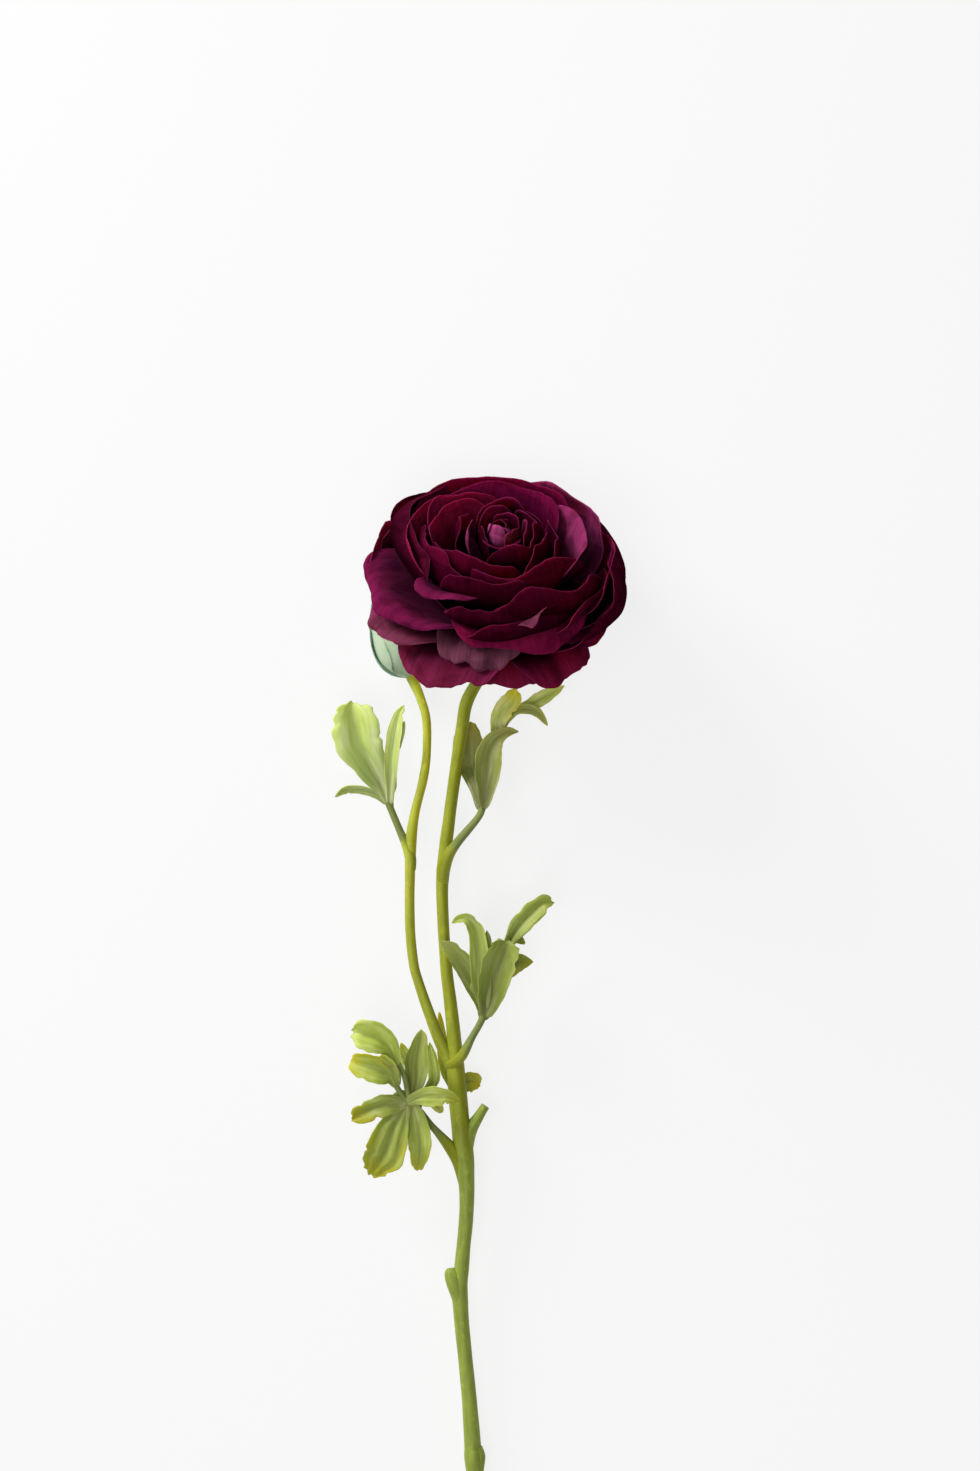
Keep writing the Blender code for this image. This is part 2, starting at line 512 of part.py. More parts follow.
def make_calyx(seat):
    """The green cup behind the bloom, with its five sepals spread."""
    finish = material("calyx", (0.36, 0.45, 0.12), 0.5)
    calyx = ball_object("calyx", RECEPTACLE_SIZE, (0, 0, RECEPTACLE_HEIGHT), finish)
    fuse(calyx, [petal_object(sepal, i, CALYX_CELLS) for i, sepal in enumerate(CALYX_SEPALS)])
    place_on_axis(calyx, seat)


def make_bud(seat):
    """The closed bud: an egg wrapped in its sepals."""
    egg = (BUD_RADIUS, BUD_RADIUS, BUD_LENGTH / 2)
    bud = ball_object("bud", egg, (0, 0, BUD_LENGTH / 2), material("bud", (0.42, 0.55, 0.36), 0.5), 3)
    fuse(bud, [petal_object(sepal, i, BUD_CELLS) for i, sepal in enumerate(BUD_SEPALS)])
    place_on_axis(bud, seat)
    rest_on_table(bud)


def make_stems():
    """The flower's stem with its cut side shoot, and the bud's stem, which leaves it."""
    finish = material("stem", (0.33, 0.44, 0.06), 0.45)
    flower_stem = new_object("flower_stem", tube(FLOWER_STEM), finish)
    fuse(flower_stem, [new_object("stub", tube(STUB))])
    rest_on_table(flower_stem)
    bud_stem = new_object("bud_stem", tube(BUD_STEM), finish)
    cut(bud_stem, new_object("clearance", tube(FLOWER_STEM, GAP)))


def lobe_object(lobe, seed):
    """One lobe as a closed blade, with one cell to each side of its vein."""
    along = len(lobe.stations)
    route = smooth_route(lobe.stations, along)
    spine = frames(route)
    tilt = math.radians(lobe.roll)
    bm = bmesh.new()
    bmesh.ops.create_grid(bm, x_segments=2, y_segments=along, size=1)
    for vert in bm.verts:
        i = round((vert.co.y + 1) / 2 * along)
        place, _, left, up = spine[i]
        across = math.cos(tilt) * left + math.sin(tilt) * up
        face = math.cos(tilt) * up - math.sin(tilt) * left
        half = route[i][3]
        wave = lobe.ripple * abs(vert.co.x) * noise.noise(Vector((seed, i / 2, 3 * vert.co.x)))
        vert.co = place - vert.co.x * half * across + (lobe.cup * half * vert.co.x ** 2 + wave) * face
    thicken(bm, LEAF_THICKNESS)
    return new_object("lobe", bm)


def make_leaf(name, leaf, carrier):
    """A leaf whose stalk ends just short of the stem that carries it."""
    finish = material(name, (0.40, 0.50, 0.12), 0.5)
    stalk = Stem(leaf.stalk, 2 * len(leaf.stalk), STALK_SIDES)
    piece = new_object(name, tube(stalk), finish)
    parts = []
    for stations in leaf.stalklets:
        parts.append(new_object("stalklet", tube(Stem(stations, len(stations), STALKLET_SIDES))))
    for i, lobe in enumerate(leaf.lobes):
        parts.append(lobe_object(lobe, i + len(name)))
    fuse(piece, parts)
    cut(piece, new_object("clearance", tube(carrier, GAP)))


def make_seat(name, place, rotation):
    """An empty that stands for the axis of the bloom or the bud."""
    seat = bpy.data.objects.new(name, None)
    seat.location = Vector(place) * MM
    seat.rotation_euler = rotation
    bpy.context.scene.collection.objects.link(seat)
    return seat


def main():
    for old in list(bpy.data.objects):
        bpy.data.objects.remove(old)
    bloom_seat = make_seat("bloom_seat", BLOOM_CENTRE, (BLOOM_RISE - math.pi / 2, 0, 0))
    bud_seat = make_seat("bud_seat", BUD_BASE, (-math.pi / 2 - BUD_DROP, 0, BUD_LEAN))
    make_bloom(bloom_seat)
    make_calyx(bloom_seat)
    make_bud(bud_seat)
    make_stems()
    for name, leaf in LEAVES.items():
        make_leaf(name, leaf, BUD_STEM if name == "leaf_bud_stem" else FLOWER_STEM)


main()
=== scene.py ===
"""A Persian buttercup lying on a pale table: fine petals, leaves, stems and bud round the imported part.

The lists below hold millimetres in the part's own frame; MM turns them into metres.
"""

import math
from typing import NamedTuple

import bmesh
import bpy
from mathutils import Matrix, Vector, noise


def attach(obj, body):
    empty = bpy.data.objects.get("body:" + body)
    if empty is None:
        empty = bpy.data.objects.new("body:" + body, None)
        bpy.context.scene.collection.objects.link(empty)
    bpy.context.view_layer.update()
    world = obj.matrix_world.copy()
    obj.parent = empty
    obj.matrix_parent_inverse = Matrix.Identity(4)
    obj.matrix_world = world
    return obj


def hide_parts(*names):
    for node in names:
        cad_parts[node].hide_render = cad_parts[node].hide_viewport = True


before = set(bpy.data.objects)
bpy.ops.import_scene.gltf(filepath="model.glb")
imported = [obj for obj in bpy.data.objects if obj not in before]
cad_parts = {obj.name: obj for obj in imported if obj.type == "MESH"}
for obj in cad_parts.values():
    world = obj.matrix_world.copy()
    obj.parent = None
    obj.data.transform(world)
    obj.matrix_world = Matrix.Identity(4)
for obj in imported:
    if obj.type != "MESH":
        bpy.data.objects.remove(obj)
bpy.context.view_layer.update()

MM = 0.001
UP = Vector((0, 0, 1))
PATTERN_UNIT = 10           # millimetres that the patterns count as one
BUMP_LENGTH = 9             # of the bumps along a stem
SEAM = 0.001                # how near the two sides of a seam are

# The photograph's view: straight down on the table, with the bloom at the top
CAMERA_PLACE = (3.9, 105, 1100)
VIEW_HEIGHT = 463.4         # of the table that the picture's height takes in
SENSOR = 36
NEAREST_SEEN = 10

# The lights: place, target and size in metres, and power in watts
KEY_LIGHT = ((-0.76, 0.88, 0.42), (0, 0.1, 0.02), 0.55, 16)
FILL_LIGHT = ((-0.3, -0.3, 1.2), (0, 0.05, 0), 0.9, 8)
SKY_LIGHT = 0.18
TABLE_REACH = 3             # metres from its middle to its edge
TABLE_COLOR = (0.15, 0.15, 0.149, 1)
TABLE_GLOW = 0.8            # keeps it nearly white and its shadows faint
WHITE = (1, 1, 1, 1)

BLOOM_CENTRE = (5.1, 149.5, 30.2)
BLOOM_RISE = math.radians(40)
HEART_SIZE = (9, 9, 12)     # of the solid middle that the petals grow from
HEART_HEIGHT = -1.0
HEART_SHIFT = (2, 1.6, 1.2)  # of the closed heart from the bloom's axis
PETAL_THICKNESS = 0.22
CALYX_SIZE = (4.6, 4.6, 3.2)
CALYX_HEIGHT = -19.5
SEPAL_THICKNESS = 0.6

BUD_BASE = (-20.9, 123.8, 7.3)
BUD_LENGTH = 24.5
BUD_RADIUS = 6.2
BUD_LEAN = math.radians(25)
BUD_DROP = math.radians(3)
BUD_INSET = 0.3             # of the egg's ends inside the sepals
BUD_FOOT = (2.5, 2.5, 2)
BUD_FOOT_HEIGHT = 1.3

LEAF_THICKNESS = 0.8
# Each leaf's own colour, set partly lighter or darker as painted light and shade
LEAF_TINTS_AND_LIGHT = {
    "leaf_bud_stem": (0.99, 0.98, 0.99),
    "leaf_upper": (0.72, 0.64, 0.64),
    "leaf_middle": (0.63, 0.61, 0.44),
    "leaf_lower": (0.78, 0.76, 0.47),
    "leaf_back": (0.82, 0.68, 0.14),
}
BASE_END = 0.06             # how far the round start of a lobe reaches
EDGE_WAVE = 0.14
EDGE_TEETH = 0.05
TIP_START = 0.75            # where the ragged tip begins
TIP_TEETH = 1.8
NOTCH_WIDTH = 0.035
VEIN_DEPTH = 0.09           # of the groove, as a share of half the lobe's width
VEIN_WIDTH = 0.2
RIDGE = 0.08
STALK_SHARE = 0.3           # the share of a lobe that is thickened towards its stalk
STALK_DEPTH = 1.6           # its thickness at the stalk, as a share of half its width there
EDGE_ROUNDING = 0.6         # below 1 the blade stays thick nearly up to its edge

# The outline and the waves of a petal
CLAW_WIDTH = 0.2            # the width at the root, as a share of the full width
SHOULDER = 0.55             # how far along the petal reaches its full width
MAX_WRAP = 1.5              # radians that a petal may bend round the axis to each side
LIP_START = 0.86
LIP_DROP = 0.35
NOTCH = 0.15
TOOTH = 0.02
FRAY = 0.012
CORNER = 0.34               # how much the petal's corners are rounded off, as a share of its length
SCALLOP = 0.06              # how far the rim of a pleated petal swells at each fold
ROLLING = 0.5               # the even wave across a petal, beside its uneven one
UNEVEN = 0.9
CRINKLE = 0.5
FRILL = 0.35
FRILL_START = 0.7
FULL_CRINKLE = 30           # the width from which a petal is fully crinkled
SEED_STEP = 5.37
FIRST_SEED = 1.3


class Petal(NamedTuple):
    """A petal round the flower's axis, with its radii and heights measured from the bloom's centre."""
    turn: float             # degrees round the axis, from the front towards +X
    rim: tuple              # radius and height of the rim's middle
    width: float
    root: tuple = None
    belly: tuple = None     # what the petal passes half way up
    lip: float = 0.0        # how far the rim rolls out
    tilt: float = 0.0       # how much higher the right end of the rim is
    skew: float = 0.0       # how much further out the right end is, as a share of the radius
    cup: float = 0.0        # how much tighter than its ring the petal is curved
    tuck: float = 0.0       # how strongly its right end is drawn in towards the axis
    ripple: float = 0.6
    pleat: float = 0.0
    pleats: int = 9
    crown: float = 0.36     # how much lower the rim's ends are, as a share of the length
    mauve_and_painted_light: float = 0.0      # below 0 darker, as painted shade; 0 to 1 more mauve; 2 to 3 more rose and 4 to 5 glowing red, as painted light


HEART_PETALS = (
    Petal(-20, (0.8, 23.6), 11, (2, 12), (3.7, 19), ripple=0.3, crown=0.5, mauve_and_painted_light=2.85),
    Petal(100, (1.2, 23), 10, (2, 10), (3.8, 18.5), ripple=0.2, mauve_and_painted_light=-0.3),
    Petal(215, (1.6, 23.4), 10, (2, 10), (3.8, 18.5), ripple=0.2, mauve_and_painted_light=-0.2),
    Petal(60, (4.6, 22.6), 11, mauve_and_painted_light=0.3),
    Petal(150, (5, 24), 12, ripple=0.7, mauve_and_painted_light=-0.4),
    Petal(285, (5.4, 22), 11, mauve_and_painted_light=-0.6),
    Petal(8, (8.4, 20.4), 17, (2, 10), (5, 17), cup=0.15),
    Petal(90, (7.6, 23.4), 13, ripple=0.9, cup=0.2, mauve_and_painted_light=0.2),
    Petal(195, (7.6, 24.2), 14, ripple=0.9, cup=0.2, mauve_and_painted_light=-0.3),
    Petal(264, (9, 23.2), 9, ripple=0.5, cup=0.2, mauve_and_painted_light=2.5),
    Petal(125, (9.8, 23.4), 14, ripple=1.1, cup=0.2, mauve_and_painted_light=-0.5),
    Petal(72, (10.6, 22.8), 12, ripple=1, cup=0.2, mauve_and_painted_light=-0.5),
    Petal(38, (9.8, 21), 20, skew=0.3, ripple=0.7, cup=0.1, mauve_and_painted_light=-0.3),
    Petal(172, (11, 24.6), 22, ripple=0.9, cup=0.1, mauve_and_painted_light=-0.3),
    Petal(246, (12.4, 22.6), 15, ripple=1.3, cup=0.2, mauve_and_painted_light=-0.2),
)
CUP_PETALS = (
    Petal(-46, (14.2, 21), 38, skew=-0.25, crown=0.3, cup=0.12),
    Petal(70, (14.4, 22.2), 18, skew=0.1, ripple=1, cup=0.15, mauve_and_painted_light=-0.4),
    Petal(136, (14, 23), 20, ripple=1.1, cup=0.15, mauve_and_painted_light=-0.5),
    Petal(-134, (20, 22.2), 30, belly=(16.5, 13), ripple=0.9, cup=0.15, mauve_and_painted_light=4.4),
    Petal(94, (18.2, 21.6), 26, ripple=0.9, cup=0.1, mauve_and_painted_light=-0.4),
    Petal(-78, (18.8, 21.4), 30, skew=-0.15, ripple=0.8, cup=0.12, mauve_and_painted_light=4.2),
    Petal(38, (19.4, 20.4), 44, skew=0.32, tilt=0.6, ripple=1, crown=0.28, cup=0.05),
    Petal(-150, (24.4, 22), 32, belly=(19.5, 12), ripple=0.8, cup=0.1, mauve_and_painted_light=4.5),
    Petal(172, (27.4, 20.8), 44, belly=(20.5, 12), ripple=0.3, pleat=0.2, pleats=21, crown=0.3, cup=0.1,
          mauve_and_painted_light=0.08),
    Petal(-6, (19, 18.3), 36, ripple=1, crown=0.32, cup=0.1, mauve_and_painted_light=-0.45),
    Petal(112, (27.6, 20.2), 50, (7, -4), (21.6, 9), lip=1, ripple=0.9, crown=0.24, cup=0.12, mauve_and_painted_light=2.46),
    Petal(-72, (19, 19.6), 34, (6, -6), (20, 9), skew=-0.14, tilt=-1.5, ripple=0.7, crown=0.24, mauve_and_painted_light=-0.3),
    Petal(-122, (24.6, 22.4), 42, (8, -8), (35.3, 9), lip=4.5, tuck=1.05, tilt=-1.5, ripple=0.8, crown=0.18,
          mauve_and_painted_light=0.12),
    Petal(184, (31.8, 20.8), 62, belly=(27, 8), lip=0.8, ripple=0.7, crown=0.2, cup=0.1, mauve_and_painted_light=4.1),
    Petal(-116, (26.4, 21.2), 42, (7, -4), (23, 11), crown=0.22, cup=0.1, mauve_and_painted_light=4.6),
)
BALL_PETALS = (
    Petal(42, (26.5, 15.5), 46, skew=0.2, tilt=1, ripple=1.1, crown=0.32, cup=0.05, mauve_and_painted_light=-0.2),
    Petal(-6, (23.6, 12.4), 27, tilt=-1.5, ripple=1.1, crown=0.4, cup=0.1, mauve_and_painted_light=-0.35),
    Petal(-146, (33.2, 19.2), 34, (8, -8), (34.5, 7), tilt=1.4, ripple=0.9, crown=0.22, cup=0.12),
    Petal(136, (33, 18.4), 50, (8, -8), (32, 5), lip=1.6, ripple=1.1, crown=0.3, cup=0.1, mauve_and_painted_light=2.4),
    Petal(-41, (26.8, 12), 21, (7, -6), (20, 10.5), skew=-0.1, ripple=0.9, crown=0.2, mauve_and_painted_light=2.22),
    Petal(25, (28.6, 10.2), 12.5, (21, 3), (25, 6.6), lip=1.8, tilt=3, ripple=0.5, mauve_and_painted_light=0.55),
    Petal(94, (35.4, 13.8), 42, (8, -8), (32, 3), lip=1.4, ripple=1.3, crown=0.3, cup=0.12, mauve_and_painted_light=4.45),
    Petal(66, (33.2, 10.8), 32, (8, -8), (29.5, 2), lip=1, ripple=1.3, crown=0.34, cup=0.1, mauve_and_painted_light=4.25),
    Petal(22, (26.6, 9), 40, ripple=1.4, crown=0.34, cup=0.08),
    Petal(98, (35.6, 13), 54, (8, -9), (37, 1.6), ripple=1.2, crown=0.24, cup=0.1, mauve_and_painted_light=0.1),
    Petal(-77, (36.8, 1.6), 46, (7, -9), (28.5, 4), ripple=2, pleat=0.4, pleats=5, crown=0.26, skew=-0.14,
          mauve_and_painted_light=2.2),
    Petal(-119, (38.8, 9.4), 29, (7, -9), (32, -3), lip=0.8, ripple=1, cup=0.1, mauve_and_painted_light=0.2),
    Petal(72, (37.6, 4), 45, (7, -9), (36, -2), ripple=1.4, skew=0.05, cup=0.1),
    Petal(150, (34.5, 12), 56, (7, -9), (35, 1), lip=1, ripple=1),
    Petal(-150, (34.5, 12), 52, (7, -9), (35, 1), lip=1, ripple=1, mauve_and_painted_light=0.3),
    Petal(182, (35, 9), 54, (7, -9), (33, -1), lip=1, ripple=1),
)
SKIRT_PETALS = (
    Petal(22, (32, -1), 46, (6, -11), (24, 3), ripple=1.8, crown=0.26, skew=0.12, mauve_and_painted_light=4.4),
    Petal(-10, (31, -7.4), 30, (6, -12), (22, -1), pleat=0.75, pleats=9, crown=0.28, mauve_and_painted_light=0.75),
    Petal(74, (37, -5), 42, (6, -11), (26, -2), ripple=1.6, mauve_and_painted_light=-0.3),
    Petal(-71, (38.5, -6), 33, (6, -11), (26, -2), ripple=1.6, mauve_and_painted_light=0.52, pleat=0.3, pleats=8),
    Petal(126, (37.5, -1), 48, (6, -11), (28, -6), ripple=1.2),
    Petal(180, (36.5, 1), 48, (6, -11), (28, -6), ripple=1.2),
    Petal(-130, (37.5, -1), 48, (6, -11), (28, -6), ripple=1.2),
    Petal(-30, (36.4, -11), 38, (5, -12.5), (24, -6), ripple=1.2, pleat=0.8, pleats=9, crown=0.22,
          mauve_and_painted_light=0.3),
    Petal(10, (31.6, -12.6), 34, (5, -12.5), (22, -8), ripple=1.2, pleat=0.75, pleats=7, crown=0.22,
          mauve_and_painted_light=0.25),
    Petal(40, (36.3, -11.6), 27, (5, -12.5), (25, -7), ripple=1.4, pleat=0.75, pleats=5, crown=0.24,
          mauve_and_painted_light=0.2),
    Petal(-52, (32, -12), 20, (5, -12.5), (24, -8), ripple=1, mauve_and_painted_light=0.5),
    Petal(92, (36.5, -9), 42, (5, -12.5), (25, -8), ripple=1.4),
    Petal(150, (38.6, -7), 44, (5, -12.5), (26, -10), ripple=0.8),
    Petal(210, (38.6, -7), 44, (5, -12.5), (26, -10), ripple=0.8),
    Petal(262, (36, -10), 38, (5, -12.5), (25, -8), ripple=1.2),
)
CALYX_SEPALS = tuple(
    Petal(36 + 72 * i, (14.5, -17), 9, (2, -19.2), (8.5, -16.4), ripple=0.5, crown=0.6)
    for i in range(5)
)
# The fourth sepal is painted dark green all over, as painted shade.
BUD_SEPALS = tuple(
    Petal(turn, (rim, BUD_LENGTH), width, root=(1.6, 0.2), belly=(belly, 9), ripple=0.3, crown=0.4,
          mauve_and_painted_light=mauve_and_painted_light)
    for turn, rim, width, belly, mauve_and_painted_light in (
        (170, 1.6, 18, 7.1, 0), (-98, 1.8, 18, 6.9, 0), (48, 1.5, 19, 7.4, 0), (-100, 2.2, 7, 7.6, 1),
    )
)

# The rings of the bloom: name, petals, cells across and along, number of the first petal, and shift
RINGS = (
    ("heart_petals", HEART_PETALS, (16, 16), 0, HEART_SHIFT),
    ("cup_petals", CUP_PETALS, (34, 24), 15, (0, 0, 0)),
    ("ball_petals", BALL_PETALS, (40, 28), 29, (0, 0, 0)),
    ("skirt_petals", SKIRT_PETALS, (40, 28), 45, (0, 0, 0)),
)
CALYX_CELLS = (14, 16)
BUD_CELLS = (24, 26)

# Stations of the stems: x, y, z, radius
FLOWER_STEM = (
    (5.1, 131.6, 14.9, 1.9), (4.2, 129, 13.2, 1.9), (1, 123.5, 11.6, 1.95), (-3.3, 115.5, 11, 1.95),
    (-4.9, 106.7, 11, 2), (-7.2, 91, 11, 1.9), (-8.6, 80.8, 11, 1.9), (-10.4, 66.2, 11, 2.1),
    (-11, 54, 11, 1.85), (-9.9, 35, 11, 1.85), (-8.6, 22.5, 11, 2), (-7.5, 13.2, 11, 2.2),
    (-7, 3.8, 11, 2.65), (-6.4, -4, 11, 2.9), (-5.6, -13.4, 10.5, 2.95), (-4.4, -24.4, 10, 3.1),
    (-3.7, -30.7, 9.5, 2.75), (-3.4, -43, 8.8, 2.25), (-4.9, -60.6, 8, 2.3), (-5.6, -68.5, 7.6, 2.5),
    (-4.7, -81.1, 7, 2.3), (-2.6, -103, 5.6, 2.35), (-1.2, -122, 4.6, 2.7), (-0.2, -134.9, 4, 2.5),
    (0.6, -154, 3.2, 2.4), (0.4, -185, 2.4, 2.35),
)
STUB = ((-4.5, -27, 9.6, 2.6), (-2.6, -19, 10, 2.3), (0.4, -13.8, 10.6, 1.6), (2.4, -10.6, 11, 1.4))
BUD_STEM = (
    (-20.7, 123.4, 7.3, 1.75), (-19.6, 120.9, 8.2, 1.6), (-17.9, 117, 9.5, 1.4), (-16, 110, 10.5, 1.35),
    (-15.8, 100, 11.2, 1.35), (-17, 91, 12, 1.4), (-19.5, 80.9, 12, 1.45), (-20.7, 72, 12, 1.75),
    (-21.1, 58, 12, 1.55), (-21, 46, 12, 1.55), (-20, 34.4, 12, 1.55), (-18.4, 28.2, 12, 1.55),
    (-15.1, 18.7, 12, 1.7), (-11.8, 10, 11.5, 1.9), (-8, 2, 11, 2),
)


class Lobe(NamedTuple):
    """A leaf lobe, swept through its stations: x, y, z and half its width."""
    stations: tuple
    roll: float = 0.0       # degrees that its face leans sideways from facing up, to its right
    cup: float = 0.25       # how far its edges rise, as a share of half its width
    ripple: float = 0.4
    gold: float = 0.2       # how yellow its edges and its tip are
    folds: float = 0.0      # how many ridges run along it, side by side
    notches: tuple = ()     # each a place along it, the side (1 right, -1 left) and a depth as a share
    tip: float = 0.86       # where it starts to round off, as a share of its length
    tone: float = 1.0       # painted light and shade: how much lighter or darker the lobe is painted than the rest of its leaf


class Leaf(NamedTuple):
    """A divided leaf: its leaf stalk, the finer stalks of its leaflets, and its lobes."""
    stalk: tuple
    lobes: tuple
    stalklets: tuple = ()


BUD_STEM_LOBES = (
    Lobe(((-27, 82, 11.4, 0.9), (-27.8, 86, 12, 1.8), (-28.2, 91, 13, 3.2), (-28.6, 97, 13.4, 1.6)), cup=0.1,
         gold=0, tone=0.9),
    Lobe(((-27.4, 83, 12, 1.1), (-30, 89.5, 13, 2.8), (-33.6, 96.5, 15, 5.6), (-36.6, 102.5, 16, 7.2),
          (-38, 108, 15.8, 7.3), (-38.6, 112, 15, 6.3), (-38.8, 115.3, 14, 3.6)), cup=0.2, folds=1.6,
         gold=0.1, notches=((0.71, -1, 0.16), (0.86, -1, 0.14), (0.5, 1, 0.12))),
    Lobe(((-27.4, 83, 12, 1.1), (-27.1, 89, 13.5, 1.5), (-26.9, 95, 15, 2.1), (-26.4, 101, 16, 2.3),
          (-25.5, 107, 17, 2.2), (-24.4, 111.4, 17.5, 1.6), (-22.6, 114.4, 17.5, 0.7)), cup=0.4,
         notches=((0.85, 1, 0.4),), tone=1.2),
    Lobe(((-25.3, 101, 15, 1.4), (-23.6, 106, 16, 1.1), (-22.7, 109.5, 16.2, 0.4))),
    Lobe(((-27.6, 84, 12, 1.1), (-30.5, 86.2, 11.8, 1.5), (-33.5, 87.6, 11.5, 1.7), (-37.5, 88.4, 11.5, 1.6),
          (-41.5, 88, 11.5, 1.4), (-44.5, 85.8, 11, 0.5)), roll=-40, notches=((0.75, -1, 0.3),), tone=0.8),
)
UPPER_LOBES = (
    Lobe(((1, 81.5, 16.5, 1), (-0.5, 89, 11.5, 2.3), (-2.5, 96.5, 6.6, 4.2), (-3, 103.5, 5.6, 4.6),
          (-1.8, 109.3, 6, 2.2)), cup=0.1, ripple=0.15, gold=0.8, tone=0.65),
    Lobe(((2, 82, 17, 1), (2.8, 88, 18.5, 2.6), (3.2, 94.5, 19.5, 4.1), (3.8, 100, 19.5, 3.9),
          (5.8, 104, 19.3, 2.6), (9.5, 106.2, 18.8, 1.5), (12.8, 106.2, 18, 0.5)), cup=0.7, gold=0.3),
    Lobe(((5.5, 103, 15.5, 0.9), (6.3, 108.5, 16.5, 2.4), (8, 112.7, 17.5, 3.1), (10.6, 116, 18, 3),
          (12, 119.4, 18, 1.6)), cup=0.35, gold=0.9, folds=1.5, notches=((0.6, 1, 0.2),), tone=1.8),
    Lobe(((6.2, 104.5, 15.3, 0.9), (9.3, 110, 17, 1.5), (12.3, 112.8, 18, 1.8), (16, 113, 18, 1.9),
          (19, 111.5, 17, 1.5), (21.8, 108, 15.5, 0.5)), roll=-30, gold=0.4, tone=1.25),
    Lobe(((10.5, 111.5, 17.5, 0.9), (14.5, 113.8, 15.5, 1.5), (18.5, 115.8, 14, 2.3), (22.5, 118, 12, 1.9),
          (27.2, 120.5, 10, 0.5)), cup=0.4, tone=1.8),
)
MIDDLE_LOBES = (
    Lobe(((1.9, 16.5, 15.9, 1.2), (2.3, 21.5, 16, 3), (3, 27, 16.4, 5), (4, 35, 16.8, 4)), cup=0.3, gold=0,
         tone=0.8),
    Lobe(((2.2, 18, 16.5, 1.3), (1, 22.5, 16.8, 2.1), (-1, 27.5, 17, 2.8), (-3.7, 33, 17.8, 3.1),
          (-7.2, 38, 18, 2.7), (-12, 41.3, 17, 0.8)), cup=0.45, gold=0.15, notches=((0.78, 1, 0.25),),
         tone=0.75),
    Lobe(((2.3, 18.5, 17, 1.3), (1.4, 27.5, 18.5, 3), (0.8, 35, 19.5, 3.1), (0.2, 41.5, 20.5, 2.7),
          (-1, 46, 21.5, 2.4), (-3, 48.3, 22, 1.8), (-5.5, 48.4, 21.5, 1.3), (-8, 47, 20.5, 0.5)), cup=0.4,
         gold=0.25, notches=((0.62, 1, 0.25), (0.8, -1, 0.3)), tone=1.2),
    Lobe(((3, 21, 16, 1.2), (3.5, 34, 16, 1.8), (3, 44.5, 16, 0.8)), gold=0, tone=0.7),
    Lobe(((2.4, 17.5, 17, 1.5), (4, 24, 18.3, 3.9), (5.6, 31, 20, 5), (7.8, 37.5, 21.6, 5),
          (9.2, 41.6, 22.8, 4.4)), cup=0.6, ripple=0.8, gold=0.1,
         notches=((0.72, 1, 0.12), (0.86, -1, 0.16)), tip=0.95, tone=0.88),
    Lobe(((4.5, 26, 15.5, 1.3), (6.8, 33.5, 14.5, 1.5), (9.8, 40.5, 15, 1.8), (12.8, 45.5, 15.5, 3),
          (16.5, 49.6, 16, 3.4), (20.3, 52.9, 16.5, 2.9), (23.8, 53, 16, 0.9)), cup=0.3, folds=1.5,
         gold=0.25, notches=((0.62, -1, 0.14), (0.78, -1, 0.12)), tone=1.1),
    Lobe(((10.6, 43.6, 14, 1.5), (13, 41.6, 14.4, 1.4), (14.8, 40.3, 14.6, 0.5)), gold=1),
    Lobe(((3.2, 21.5, 16.5, 1.2), (5.5, 28, 15.5, 1.6), (9.3, 32.3, 13.4, 3), (13, 34.4, 12.2, 2.8),
          (17.4, 34.4, 11, 0.7)), cup=0.3, gold=0.7, notches=((0.62, -1, 0.3),)),
)
